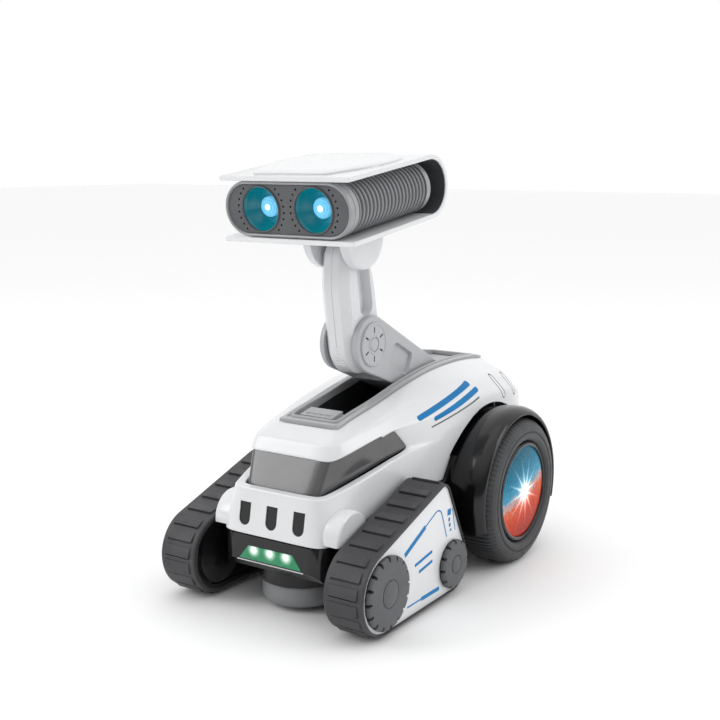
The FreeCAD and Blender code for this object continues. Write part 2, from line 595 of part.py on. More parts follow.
def mesh_turn(own_teeth, other_teeth, other_angle, toward):
    """The turn about X that puts a gap of a gear on the tooth of its neighbour.

    The neighbour has been turned by other_angle; toward is the direction, in
    degrees from +Y to +Z, from this gear's axis to the neighbour's axis."""
    own_step = 360.0 / own_teeth
    other_step = 360.0 / other_teeth
    phase = ((toward + 180.0 - other_angle) / other_step) % 1.0
    return toward - (0.5 - phase) * own_step


pinion_to_idler = math.degrees(math.atan2(IDLER_Z - MOTOR_Z, IDLER_Y - D["drum_y"]))
idler_turn = mesh_turn(22, 8, 0.0, pinion_to_idler + 180.0)
axle_to_idler = math.degrees(math.atan2(IDLER_Z - DRIVE_Z, IDLER_Y - D["drum_y"]))
axle_turn = mesh_turn(20, 10, idler_turn, axle_to_idler)
idler_large = gear("idler_large", 22, 6.0, 1.9, 0.81)
idler_small = gear("idler_small", 10, 7.9, 2.9, 0.81)
idler = fuse("idler_form", [idler_large, idler_small])
keep("idler_gear", placed(idler, (0, IDLER_Y, IDLER_Z), turn((1, 0, 0), idler_turn)))
keep("axle_gear", placed(gear("axle_gear_form", 20, 8.2, 2.3, 1.0), (0, D["drum_y"], DRIVE_Z),
                         turn((1, 0, 0), axle_turn)))
keep("drive_axle", cylinder("drive_axle_rod", 1.0, 30.4, (-15.2, D["drum_y"], DRIVE_Z), "X"))
hubs = []
tyres = []
for side in (-1, 1):
    low = side * 12.8 - 1.75
    hub = cut(f"drive_hub_{side}", cylinder(f"drive_hub_blank_{side}", 5.6, 3.5,
                                            (low, D["drum_y"], DRIVE_Z), "X"),
              [cylinder(f"drive_hub_bore_{side}", 1.0, 5.5, (low - 1, D["drum_y"], DRIVE_Z), "X")])
    ring = cut(f"drive_tyre_{side}", cylinder(f"drive_tyre_blank_{side}", "drive_r", 3.5,
                                              (low, D["drum_y"], DRIVE_Z), "X"),
               [cylinder(f"drive_tyre_bore_{side}", 5.6, 5.5, (low - 1, D["drum_y"], DRIVE_Z), "X")])
    hubs.append(hub)
    tyres.append(ring)
keep("drive_hubs", group("drive_hub_pair", hubs))
keep("drive_tyres", group("drive_tyre_pair", tyres))

# ---------------------------------------------------------------- lower arm
elbow = (D["elbow_y"], D["elbow_z"])
shoulder = (D["shoulder_y"], D["shoulder_z"])
arm_angle = math.degrees(math.atan2(shoulder[1] - elbow[1], shoulder[0] - elbow[0]))
fork_line = belt_outline([(elbow[0], elbow[1], D["elbow_r"]),
                          (shoulder[0], shoulder[1], D["shoulder_r"])])
recess_line = polygon([(-9.0, -6.0), (8.0, -6.0), (10.0, 5.6), (-8.0, 6.6)])
for side, word in ((1, "left"), (-1, "right")):
    low = 0.02 if side > 0 else -D["fork_half"]
    blank = pad(f"fork_{word}", fork_line, low, "fork_half - 0.02")
    low = D["fork_half"] if side > 0 else -D["fork_half"] - 0.8
    relief = cylinder(f"elbow_disc_{word}", 11.3, 0.8, (low, elbow[0], elbow[1]), "X")
    low = -1.0 if side > 0 else -8.62
    fork_gap = cylinder(f"fork_gap_{word}", 25.5, 9.62, (low, elbow[0], elbow[1]), "X")
    low = D["fork_half"] - 1.0 if side > 0 else -D["fork_half"] - 1.0
    recess = placed(pad(f"fork_recess_{word}", recess_line, low, "2"),
                    (0, 12.4, 110.8), turn((1, 0, 0), arm_angle))
    bore = cylinder(f"fork_bore_{word}", "pin_r + running_gap", 40,
                    (-20, shoulder[0], shoulder[1]), "X")
    seat = cylinder(f"elbow_seat_{word}", "pin_r", "2 * fork_half",
                    (-D["fork_half"], elbow[0], elbow[1]), "X")
    keep(f"lower_arm_{word}", cut(f"lower_arm_form_{word}", fuse(f"fork_blank_{word}",
                                                                 [blank, relief]),
                                  [fork_gap, recess, bore, seat]))
keep("elbow_pin", cylinder("elbow_pin_rod", "pin_r", "2 * fork_half",
                           (-D["fork_half"], elbow[0], elbow[1]), "X"))

# ---------------------------------------------------------------- head frame
HEAD = Placement(Vector(0, D["head_y"], D["head_z"]), turn((1, 0, 0), D["head_tilt"]))
neck = HEAD.multVec(Vector(0, D["pivot_back"], -D["pivot_down"]))


def on_head(item):
    item.Placement = HEAD.multiply(item.Placement)
    return item


# ---------------------------------------------------------------- upper arm
link_heading = math.atan2(neck.z - elbow[1], neck.y - elbow[0])


def link_outline(inset):
    """The upper arm's side outline, drawn in all round by an inset."""
    middle = (elbow[0] + 30.0 * math.cos(link_heading), elbow[1] + 30.0 * math.sin(link_heading),
              14.4 - inset)
    return belt_outline([(elbow[0], elbow[1], D["link_r"] - inset), middle,
                         (neck.y, neck.z, D["link_neck_r"] - inset), middle])


pocket_line = belt_outline([(0.0, -2.2, 5.6), (16.0, -2.2, 5.6)])
for side, word in ((1, "left"), (-1, "right")):
    flat = D["link_half"] - D["link_chamfer"]
    low = 0.02 if side > 0 else -flat
    straight = pad(f"link_{word}", link_outline(0.0), low, "link_half - link_chamfer - 0.02")
    bevel = doc.addObject("Part::Loft", f"link_bevel_{word}")
    bevel.Sections = [outline_at(f"link_wide_{word}", link_outline(0.0), side * flat),
                      outline_at(f"link_narrow_{word}", link_outline(D["link_chamfer"]),
                                 side * D["link_half"])]
    bevel.Solid = True
    bevel.Ruled = True
    blank = fuse(f"link_blank_{word}", [straight, bevel])
    low = D["link_half"] - 1.2 if side > 0 else -D["link_half"] - 1.0
    pocket = placed(pad(f"link_pocket_{word}", pocket_line, low, "2.2"),
                    (0, elbow[0] + 19.5 * math.cos(link_heading),
                     elbow[1] + 19.5 * math.sin(link_heading)),
                    turn((1, 0, 0), math.degrees(link_heading)))
    holes = []
    for name, y, z in (("elbow", elbow[0], elbow[1]), ("neck", neck.y, neck.z)):
        holes.append(cylinder(f"link_{name}_bore_{word}", "pin_r + running_gap", 40,
                              (-20, y, z), "X"))
    keep(f"upper_arm_{word}", cut(f"upper_arm_form_{word}", blank, [pocket] + holes))

# ---------------------------------------------------------------- neck
back, down = D["pivot_back"], D["pivot_down"]
table_low = -D["turn_top"] - D["turn_t"]
table = doc.addObject("Part::Cone", "turntable")
table.setExpression("Radius1", bound("turn_r - 2.5"))
table.setExpression("Radius2", bound("turn_r"))
table.setExpression("Height", bound("turn_t"))
table.Placement = Placement(Vector(0, back, table_low), Rotation())
spigot = cylinder("turn_spigot", 5, "turn_t + 2.15", (0, back, table_low + 0.5))
neck_items = [table, spigot]
for side in (1, -1):
    low = D["ear_in"] if side > 0 else -D["ear_in"] - D["ear_t"]
    ear = pad(f"ear_{side}", [arc((back, table_low), D["ear_r"], math.pi, 2 * math.pi),
                              Part.LineSegment(Vector(back + D["ear_r"], table_low, 0),
                                               Vector(back + D["ear_r"], table_low + 2, 0)),
                              Part.LineSegment(Vector(back + D["ear_r"], table_low + 2, 0),
                                               Vector(back - D["ear_r"], table_low + 2, 0)),
                              Part.LineSegment(Vector(back - D["ear_r"], table_low + 2, 0),
                                               Vector(back - D["ear_r"], table_low, 0))],
              low, "ear_t")
    neck_items.append(ear)
neck_seat = cylinder("neck_seat", "pin_r", 40, (-20, back, -down), "X")
screw_room = cylinder("turn_screw_room", 1.5, 8, (0, back, -18.0))
keep("neck_bracket", on_head(cut("neck_form", fuse("neck_blank", neck_items),
                                 [neck_seat, screw_room])))
pin_reach = D["ear_in"] + D["ear_t"]
keep("neck_pin", on_head(cylinder("neck_pin_rod", "pin_r", 2 * pin_reach,
                                  (-pin_reach, back, -down), "X")))
screw_head = cylinder("pan_screw_head", 7.2, 1.4, (0, back, -13.05))
screw_shank = cylinder("pan_screw_shank", 1.5, 4.5, (0, back, -17.5))
keep("pan_screw", on_head(fuse("pan_screw_form", [screw_head, screw_shank])))

# ---------------------------------------------------------------- head
def wrap_line(half):
    deep = D["head_deep"]
    return [Part.LineSegment(Vector(-1.0, half, 0), Vector(-1.0, -half, 0)),
            Part.LineSegment(Vector(-1.0, -half, 0), Vector(deep, -half, 0)),
            arc((deep, 0.0), half, -math.pi / 2, math.pi / 2),
            Part.LineSegment(Vector(deep, half, 0), Vector(-1.0, half, 0))]


wrap_blank = pad("wrap_blank", wrap_line(D["wrap_half"]), -D["head_half"], "2 * head_half")
wrap_space = pad("wrap_space", wrap_line(D["wrap_half"] - D["plate_t"]), -D["head_half"] - 5.0,
                 "2 * head_half + 10")
wrap_mouth = block("wrap_mouth", "2 * head_half + 10", 3, "2 * wrap_half - 2 * plate_t",
                   (-D["head_half"] - 5, -2.5, -D["wrap_half"] + D["plate_t"]))
wrap_hole = cylinder("wrap_pan_hole", 5.0 + gap, 10, (0, back, -20))
pad_line = polygon([(-21.0, 4.5), (21.0, 4.5), (33.0, 31.0), (31.0, 56.0), (19.0, 66.0),
                    (-19.0, 66.0), (-31.0, 56.0), (-33.0, 31.0)])
raised_pad = pad("raised_pad", pad_line, D["wrap_half"] - 0.3, "2.0", "XY_Plane")
keep("head_wrap", on_head(cut("wrap", fuse("wrap_body", [wrap_blank, raised_pad]),
                              [wrap_space, wrap_mouth, wrap_hole])))


def ring(name, outer, inner, start, length):
    """A stadium-shaped ring across the head, from start to start + length."""
    outside = along_y(name + "_outside", stadium(*outer), start, length)
    inside = along_y(name + "_inside", stadium(*inner), start - 1.0, length + 2.0)
    return cut(name, outside, [inside])


wide, high = D["tube_wide"], D["tube_half"]
tube = ring("tube", (wide - 0.6, high - 0.4), (wide - D["tube_t"], high - D["tube_t"]),
            D["bezel_deep"], D["tube_end"] - D["bezel_deep"])
tube_hole = cylinder("tube_screw_room", 8.2, 12, (0, back, -16))
keep("head_tube", on_head(cut("tube_open", tube, [tube_hole])))
rim_wide, rim_high = wide - D["bezel_t"], high - D["bezel_t"]
keep("head_bezel", on_head(ring("bezel", (wide, high), (rim_wide, rim_high), 0.0,
                                D["bezel_deep"])))
rear_ring = ring("rear_ring", (wide, high), (rim_wide, rim_high), D["tube_end"], D["ring_deep"])
rear_web = along_y("rear_web", stadium(rim_wide + 0.3, rim_high + 0.3), D["tube_end"] + 1.0, 1.6)
keep("head_rear_cap", on_head(fuse("rear_cap", [rear_ring, rear_web])))
plate_blank = along_y("plate_blank", stadium(rim_wide - 0.02, rim_high - 0.02), 1.0, 2.0)
eye_holes = []
for side in (-1, 1):
    eye_holes.append(cylinder(f"eye_hole_{side}", "eye_r", 6, (side * D["eye_x"], -1, 0), "Y"))
eye_rings = []
for side in (-1, 1):
    eye_rings.append(cylinder(f"eye_rim_{side}", "eye_r + 0.8", 2.8,
                              (side * D["eye_x"], 0.2, 0), "Y"))
face_parts = fuse("face_blank", [plate_blank] + eye_rings)
keep("face_plate", on_head(cut("face", face_parts, eye_holes)))

reflectors = []
leds = []
for side in (-1, 1):
    shape = turned(f"reflector_{side}", [(1.4, D["eye_r"] - 0.05), (1.4, D["eye_r"] - 0.9),
                                         (10.0, 2.7), (11.2, 2.7), (11.2, 3.9),
                                         (3.2, D["eye_r"] - 0.05)])
    reflectors.append(placed(shape, (side * D["eye_x"], 0, 0), turn((0, 0, 1), 90)))
    leds.append(cylinder(f"eye_led_{side}", 2.6, 5.0, (side * D["eye_x"], 7.4, 0), "Y"))
keep("eye_reflectors", on_head(group("reflector_pair", reflectors)))
keep("eye_leds", on_head(group("eye_led_pair", leds)))
keep("head_board", on_head(block("head_led_board", 54, 1.6, 15, (-27, 12.4, -7.5))))

# ---------------------------------------------------------------- inside the chassis
cells = []
contacts = []
for index in range(3):
    x = (index - 1) * D["cell_pitch"]
    cells.append(cylinder(f"cell_{index}", "cell_r", "cell_long", (x, -29.0, D["cell_z"]), "Y"))
    contacts.append(block(f"contact_front_{index}", 9, 0.5, 9, (x - 4.5, -29.6, D["cell_z"] - 4.5)))
    contacts.append(cylinder(f"contact_spring_{index}", 3.2, 4, (x, 21.2, D["cell_z"]), "Y"))
keep("battery_cells", group("cells", cells))
keep("battery_contacts", group("contacts", contacts))
keep("battery_door", block("door", 51.6, 59.6, 2.0, (-25.8, -33.8, D["floor_z"])))
board_blank = block("board_blank", 64, 62, "board_t", (-32, -31, D["board_z"]))
board_holes = [cylinder(f"board_screw_hole_{int(x)}_{int(y)}", 1.1, 6, (x, y, D["board_z"] - 2))
               for x in (-29, 29) for y in (-27, 27)]
keep("main_board", cut("board", board_blank, board_holes))
speaker_frame = cylinder("speaker_frame", 14, 3, (0, 64, D["floor_z"] + D["floor_t"]))
speaker_magnet = cylinder("speaker_magnet", 8, 4, (0, 64, D["floor_z"] + D["floor_t"] + 2.9))
keep("speaker", fuse("speaker_form", [speaker_frame, speaker_magnet]))
slider_knob = block("slider_knob", 4.6, 3.6, 6.0, (24.2, 61.2, 10.6))
slider_flange = block("slider_flange", 8.0, 7.0, 1.6, (22.5, 59.5, 14.4))
keep("power_switch", fuse("slider", [slider_knob, slider_flange]))
screws = []
for x in (-29, 29):
    for y in (-27, 27):
        head = cylinder(f"screw_head_{x}_{y}", 2.2, 1.4, (x, y, D["board_z"] + D["board_t"]))
        shank = cylinder(f"screw_shank_{x}_{y}", 1.1, 9, (x, y, D["board_z"] - 7.2))
        screws.append(fuse(f"screw_{x}_{y}", [head, shank]))
keep("body_screws", group("screw_set", screws))

# ---------------------------------------------------------------- check and write
doc.recompute()
for item in doc.Objects:
    for state in item.State:
        if state in ("Invalid", "Error"):
            raise RuntimeError(f"{item.Name}: {state}")
os.makedirs("parts", exist_ok=True)
for label, item in sorted(PARTS.items()):
    shape = item.Shape
    if shape.isNull() or not shape.isValid():
        raise RuntimeError(f"{label}: bad shape")
    shape.exportStep(f"parts/{label}.step")
    box = shape.BoundBox
    print(f"{label:20s} solids {len(shape.Solids)} volume {shape.Volume:9.1f} "
          f"x {box.XMin:6.1f}..{box.XMax:6.1f} y {box.YMin:6.1f}..{box.YMax:6.1f} "
          f"z {box.ZMin:6.1f}..{box.ZMax:6.1f}")
print(len(PARTS), "nodes")
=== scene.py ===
import bmesh
import bpy
import json
import math
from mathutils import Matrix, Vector


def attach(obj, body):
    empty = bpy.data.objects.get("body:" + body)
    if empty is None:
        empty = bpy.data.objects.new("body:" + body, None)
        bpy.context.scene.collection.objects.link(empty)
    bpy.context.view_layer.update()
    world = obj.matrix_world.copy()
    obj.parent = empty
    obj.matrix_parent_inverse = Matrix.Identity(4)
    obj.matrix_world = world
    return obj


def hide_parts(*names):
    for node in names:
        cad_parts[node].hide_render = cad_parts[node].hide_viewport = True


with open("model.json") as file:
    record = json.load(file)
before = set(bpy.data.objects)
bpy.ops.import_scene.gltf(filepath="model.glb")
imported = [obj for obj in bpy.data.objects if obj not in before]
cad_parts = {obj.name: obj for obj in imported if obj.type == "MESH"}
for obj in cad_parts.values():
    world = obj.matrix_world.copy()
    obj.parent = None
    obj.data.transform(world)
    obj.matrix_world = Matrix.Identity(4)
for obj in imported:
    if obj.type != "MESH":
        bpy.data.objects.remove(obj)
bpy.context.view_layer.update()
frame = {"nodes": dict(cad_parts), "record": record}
NODES = frame["nodes"]
MM = 0.001
WELD = 0.000001
SIDES = (("left", 1), ("right", -1))


# ---------------------------------------------------------------- materials
def add_node(tree, kind, **values):
    """A shader node, with its attributes or inputs set by name; _ stands for a space."""
    node = tree.nodes.new("ShaderNode" + kind)
    for key, value in values.items():
        if hasattr(node, key):
            setattr(node, key, value)
        else:
            node.inputs[key.replace("_", " ")].default_value = value
    return node


class Nodes:
    """A material's node tree, with short calls to add, join and set nodes."""

    def __init__(self, name):
        self.material = bpy.data.materials.new(name)
        self.material.use_nodes = True
        self.tree = self.material.node_tree
        self.shader = self.tree.nodes["Principled BSDF"]
        self.place = self.add("TexCoord").outputs["Object"]

    def add(self, kind, **values):
        return add_node(self.tree, kind, **values)

    def put(self, target, value):
        """Join a socket to a node's input, or set the input's own value."""
        if isinstance(value, bpy.types.NodeSocket):
            self.tree.links.new(value, target)
        else:
            target.default_value = value

    def surface(self, **values):
        """Join or set the shader's inputs by name; _ stands for a space."""
        for key, value in values.items():
            self.put(self.shader.inputs[key.replace("_", " ")], value)

    def noise(self, scale, detail=3.0, stretch=None):
        """Noise between 0 and 1, in the object's metres; scale is waves per metre."""
        node = self.add("TexNoise", Scale=scale, Detail=detail)
        place = self.place
        if stretch:
            mapping = self.add("Mapping", Scale=stretch)
            self.put(mapping.inputs["Vector"], place)
            place = mapping.outputs["Vector"]
        self.put(node.inputs["Vector"], place)
        return node.outputs["Fac"]

    def span(self, source, low, high, start=0.0, end=1.0):
        """source mapped from start..end to low..high."""
        node = self.add("MapRange", From_Min=start, From_Max=end, To_Min=low, To_Max=high)
        self.put(node.inputs["Value"], source)
        return node.outputs["Result"]

    def mix(self, factor, first, second):
        """Two colours mixed; each is a socket or three numbers."""
        node = self.add("Mix", data_type="RGBA")
        self.put(node.inputs["Factor"], factor)
        for index, value in ((6, first), (7, second)):
            whole = value if isinstance(value, bpy.types.NodeSocket) else (*value, 1.0)
            self.put(node.inputs[index], whole)
        return node.outputs[2]

    def math(self, operation, first, second=None):
        node = self.add("Math", operation=operation)
        self.put(node.inputs[0], first)
        if second is not None:
            self.put(node.inputs[1], second)
        return node.outputs["Value"]

    def apart(self, across, up):
        """The distance from the point where both lengths are 0."""
        squares = [self.math("MULTIPLY", length, length) for length in (across, up)]
        return self.math("SQRT", self.math("ADD", *squares))

    def bump(self, height, distance):
        node = self.add("Bump", Strength=1.0, Distance=distance)
        self.put(node.inputs["Height"], height)
        self.surface(Normal=node.outputs["Normal"])


def scaled(color, share):
    """A colour made darker or lighter, up to white."""
    return tuple(min(1.0, channel * share) for channel in color)


def plastic(name, color, rough, grain=0.00003, coat=0.0, shade=0.08, scuff=0.05, shine=0.5):
    """Moulded plastic: faint mottling, uneven gloss, fine grain and rubbed patches."""
    n = Nodes(name)
    mottle = n.span(n.noise(45.0, 4.0), 0.0, 1.0, 0.35, 0.65)
    rubbed = n.span(n.noise(140.0, 5.0), 0.0, 1.0, 0.52, 0.72)
    dark, light = scaled(color, 1.0 - shade), scaled(color, 1.0 + shade * 0.5)
    n.surface(Base_Color=n.mix(mottle, dark, light),
              Roughness=n.span(rubbed, max(0.02, rough - scuff * 0.3), rough + scuff),
              Specular_IOR_Level=shine, Coat_Weight=coat, Coat_Roughness=0.08)
    n.bump(n.noise(2600.0, 3.0), grain)
    return n.material


def metal(name, color, rough):
    """Plain turned or plated steel with fine drawn lines."""
    n = Nodes(name)
    lines = n.noise(900.0, 2.0, (0.08, 1.0, 1.0))
    n.surface(Base_Color=n.mix(lines, scaled(color, 0.8), color), Metallic=1.0,
              Roughness=n.span(n.noise(300.0), rough * 0.8, rough * 1.3))
    n.bump(lines, 0.00002)
    return n.material


def glow(name, color, strength, core=None):
    """A lit plastic lens or LED with an uneven body colour."""
    n = Nodes(name)
    base = n.mix(n.noise(600.0), scaled(color, 0.7), color)
    n.surface(Base_Color=base, Emission_Strength=strength,
              Emission_Color=base if core is None else n.mix(n.noise(250.0), core, color),
              Roughness=n.span(n.noise(200.0), 0.15, 0.3))
    return n.material


LENS_STOPS = ((0.0, (0.34, 0.014, 0.004)), (0.26, (0.62, 0.045, 0.008)),
              (0.42, (0.74, 0.13, 0.05)), (0.50, (0.55, 0.42, 0.42)), (0.57, (0.05, 0.34, 0.52)),
              (0.74, (0.004, 0.20, 0.33)), (1.0, (0.002, 0.10, 0.16)))


def lit_lens(name, centre, radius):
    """A hub lens lit from within: blue above, red below, and a white star in the middle."""
    n = Nodes(name)
    split = n.add("SeparateXYZ")
    n.put(split.inputs["Vector"], n.place)
    across = n.math("DIVIDE", n.math("SUBTRACT", split.outputs["Y"], centre[0]), radius)
    up = n.math("DIVIDE", n.math("SUBTRACT", split.outputs["Z"], centre[1]), radius)
    slant = n.math("ADD", up, n.math("MULTIPLY", across, -0.25))
    facets = n.add("TexVoronoi", Scale=620.0)
    n.put(facets.inputs["Vector"], n.place)
    uneven = n.math("ADD", slant, n.span(facets.outputs["Distance"], -0.14, 0.14))
    ramp = n.add("ValToRGB")
    while len(ramp.color_ramp.elements) < len(LENS_STOPS):
        ramp.color_ramp.elements.new(0.5)
    for element, (place, color) in zip(ramp.color_ramp.elements, LENS_STOPS):
        element.position = place
        element.color = (*color, 1.0)
    n.put(ramp.inputs["Fac"], n.span(uneven, 0.0, 1.0, -1.0, 1.0))
    reach = n.apart(across, up)
    fade = n.span(reach, 1.0, 0.0, 0.0, 0.95)
    star = n.math("POWER", n.span(reach, 1.0, 0.0, 0.0, 0.6), 3.2)
    for degrees in (8.0, 38.0, 68.0):
        c, s = math.cos(math.radians(degrees)), math.sin(math.radians(degrees))
        along = n.math("ADD", n.math("MULTIPLY", across, c), n.math("MULTIPLY", up, s))
        cross = n.math("SUBTRACT", n.math("MULTIPLY", up, c), n.math("MULTIPLY", across, s))
        thin = n.math("ABSOLUTE", n.math("MULTIPLY", along, cross))
        ray = n.math("POWER", n.span(thin, 1.0, 0.0, 0.0, 0.035), 3.0)
        faded = n.math("MULTIPLY", ray, n.math("MULTIPLY", fade, fade))
        star = n.math("MAXIMUM", star, faded)
    painted = n.add("VectorMath", operation="SCALE", Scale=0.25)
    n.put(painted.inputs[0], ramp.outputs["Color"])
    n.surface(Base_Color=painted.outputs["Vector"],
              Emission_Color=n.mix(star, ramp.outputs["Color"], (1.0, 1.0, 1.0)),
              Emission_Strength=n.math("ADD", n.math("MULTIPLY", star, 2.2), 0.62),
              Roughness=n.span(n.noise(260.0), 0.1, 0.22), Specular_IOR_Level=0.12)
    n.bump(facets.outputs["Distance"], 0.00008)
    return n.material


def lamp_bar(name):
    """A green lens with the white glow of three LEDs behind it."""
    n = Nodes(name)
    split = n.add("SeparateXYZ")
    n.put(split.inputs["Vector"], n.place)
    up = n.math("SUBTRACT", split.outputs["Z"], 0.0312)
    glow_sum = None
    for x in (-0.0095, 0.0, 0.0095):
        reach = n.apart(n.math("SUBTRACT", split.outputs["X"], x), up)
        spot = n.math("POWER", n.span(reach, 1.0, 0.0, 0.0, 0.0042), 1.6)
        glow_sum = spot if glow_sum is None else n.math("MAXIMUM", glow_sum, spot)
    body = n.mix(n.noise(420.0, 4.0), (0.006, 0.13, 0.055), (0.02, 0.27, 0.11))
    lit = n.mix(glow_sum, body, (0.95, 1.0, 0.97))
    n.surface(Base_Color=lit, Emission_Color=lit,
              Emission_Strength=n.math("ADD", n.math("MULTIPLY", glow_sum, 1.3), 0.25),
              Roughness=n.span(n.noise(200.0), 0.12, 0.25))
    return n.material


# Colour, roughness, and whatever else differs from plastic()'s own values
PLASTICS = {
    "shell_white": ((0.74, 0.75, 0.765), 0.2, dict(coat=0.3, shade=0.02)),
    "neck_white": ((0.70, 0.71, 0.725), 0.24, dict(coat=0.2, shade=0.03)),
    "visor_smoke": ((0.075, 0.075, 0.078), 0.12, dict(coat=0.6, shade=0.15)),
    "trim_grey": ((0.37, 0.375, 0.385), 0.36, dict(grain=0.00006, shade=0.04)),
    "well_black": ((0.022, 0.023, 0.025), 0.45, dict(grain=0.0001, shade=0.2)),
    "chassis_black": ((0.008, 0.008, 0.009), 0.16, dict(coat=0.15, shade=0.3, shine=0.35)),
    "insert_black": ((0.006, 0.006, 0.007), 0.5, dict(grain=0.0001, shade=0.3)),
    "board_green": ((0.01, 0.09, 0.035), 0.35, dict(grain=0.00005, shade=0.3)),
    "fender_black": ((0.004, 0.004, 0.005), 0.14, dict(coat=0.2, shade=0.3, shine=0.35)),
    "belt_rubber": ((0.042, 0.042, 0.046), 0.52, dict(grain=0.00012, shade=0.18, scuff=0.12)),
    "switch_black": ((0.02, 0.02, 0.022), 0.4, dict(grain=0.0001, shade=0.2)),
    "arm_grey": ((0.44, 0.45, 0.465), 0.36, dict(grain=0.00006, shade=0.04)),
    "tube_charcoal": ((0.07, 0.073, 0.08), 0.38, dict(grain=0.00006, shade=0.15)),
    "bezel_grey": ((0.31, 0.32, 0.33), 0.33, dict(grain=0.00005, coat=0.2, shade=0.05)),
    "face_charcoal": ((0.085, 0.088, 0.095), 0.4, dict(grain=0.00008, shade=0.15)),
    "drum_grey": ((0.20, 0.205, 0.212), 0.42, dict(grain=0.00008, shade=0.08)),
    "gear_nylon": ((0.68, 0.68, 0.62), 0.4, dict(grain=0.00004, shade=0.05)),
    "tyre_rubber": ((0.05, 0.052, 0.055), 0.5,
                    dict(grain=0.0001, shade=0.2, scuff=0.12, shine=0.35)),
    "rim_black": ((0.012, 0.012, 0.013), 0.18, dict(coat=0.2, shade=0.25, shine=0.4)),
    "neck_grey": ((0.50, 0.51, 0.525), 0.3, dict(grain=0.00004, coat=0.15, shade=0.04)),
    # A lighter copy of trim_grey: painted light on the trim's outer band
    "trim_light": ((0.44, 0.45, 0.46), 0.34, dict(grain=0.00006, shade=0.04)),
    "rib_grey": ((0.21, 0.215, 0.225), 0.36, dict(grain=0.00005, shade=0.1)),
    "decal_blue": ((0.003, 0.185, 0.46), 0.4, dict(grain=0.00002, shade=0.1, shine=0.2)),
    "decal_grey": ((0.10, 0.11, 0.12), 0.4, dict(grain=0.00002, shade=0.1)),
    "disc_grey": ((0.085, 0.088, 0.095), 0.42, dict(grain=0.0001, shade=0.15)),
}
MATERIALS = {name: plastic(name, color, rough, **more)
             for name, (color, rough, more) in PLASTICS.items()}
MATERIALS.update({
    "light_green": lamp_bar("light_green"),
    "led_white": glow("led_white", (0.9, 0.95, 1.0), 6.0),
    "cell_steel": metal("cell_steel", (0.2, 0.22, 0.25), 0.35),
    "contact_steel": metal("contact_steel", (0.62, 0.63, 0.64), 0.25),
    "pin_steel": metal("pin_steel", (0.62, 0.63, 0.65), 0.22),
    "eye_teal": glow("eye_teal", (0.0, 0.19, 0.24), 0.2, (0.0, 0.13, 0.18)),
    "led_blue": glow("led_blue", (0.16, 0.52, 0.78), 0.75),
    "lens_clear": lit_lens("lens_clear", (0.0498, 0.039), 0.0242),
    "led_core": glow("led_core", (0.80, 0.95, 1.0), 1.6),
})


# ---------------------------------------------------------------- mesh helpers
def stand(name, data):
    """A new object in the scene."""
    item = bpy.data.objects.new(name, data)
    bpy.context.scene.collection.objects.link(item)
    return item


def mesh_of(name, verts, faces, clean=True):
    """A mesh from points in millimetres, with its doubles joined and its faces outward."""
    mesh = bpy.data.meshes.new(name)
    mesh.from_pydata([(x * MM, y * MM, z * MM) for x, y, z in verts], [], faces)
    work = bmesh.new()
    work.from_mesh(mesh)
    bmesh.ops.remove_doubles(work, verts=work.verts, dist=WELD)
    if clean:
        bmesh.ops.dissolve_degenerate(work, edges=work.edges, dist=WELD / 2)
    bmesh.ops.recalc_face_normals(work, faces=work.faces)
    work.to_mesh(mesh)
    work.free()
    return mesh


def shade_smooth(mesh, angle):
    """Smooth shading, broken at edges sharper than an angle."""
    mesh.polygons.foreach_set("use_smooth", [True] * len(mesh.polygons))
    mesh.set_sharp_from_angle(angle=math.radians(angle))


def soften(item, width, segments=3, angle=35.0):
    modifier = item.modifiers.new("soft_edges", "BEVEL")
    modifier.width = width * MM
    modifier.segments = segments
    modifier.limit_method = "ANGLE"
    modifier.angle_limit = math.radians(angle)
    modifier.harden_normals = True


def make(name, verts, faces, slot, body, instead=(), angle=32.0, bevel=None):
    """A piece from points in millimetres, riding on a CAD body and shown instead of CAD nodes."""
    item = finish_piece(name, mesh_of(name, verts, faces), slot, body, instead, angle)
    if bevel:
        soften(item, bevel)
    return item


def finish_piece(name, mesh, slot, body, instead=(), angle=32.0):
    """A piece from a mesh, with its material, its slot and the body it rides on."""
    shade_smooth(mesh, angle)
    mesh.materials.append(MATERIALS[slot])
    item = stand(name, mesh)
    if instead:
        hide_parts(*instead)
    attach(item, body)
    return item


def rounded(points, radius, steps=4, closed=True):
    """A line of points whose corners are rounded by up to a radius.

    radius is one number, or one for each point."""
    count = len(points)
    result = []
    for i, point in enumerate(points):
        here = Vector(point)
        size = radius[i] if isinstance(radius, (list, tuple)) else radius
        if size <= 0 or (not closed and i in (0, count - 1)):
            result.append(tuple(here))
            continue
        before = Vector(points[i - 1]) - here
        after = Vector(points[(i + 1) % count]) - here
        reach = min(size, before.length * 0.49, after.length * 0.49)
        first = here + before.normalized() * reach
        last = here + after.normalized() * reach
        for step in range(steps + 1):
            share = step / steps
            result.append(tuple(first.lerp(here, share).lerp(here.lerp(last, share), share)))
    return result


def circle(at, radius, count=48):
    return [(at[0] + radius * math.cos(2 * math.pi * k / count),
             at[1] + radius * math.sin(2 * math.pi * k / count)) for k in range(count)]


def arc(at, radius, step, count, start=0):
    """Points on a circle, a step of so many degrees apart."""
    angles = [math.radians(start + step * k) for k in range(count)]
    return [(at[0] + radius * math.cos(a), at[1] + radius * math.sin(a)) for a in angles]


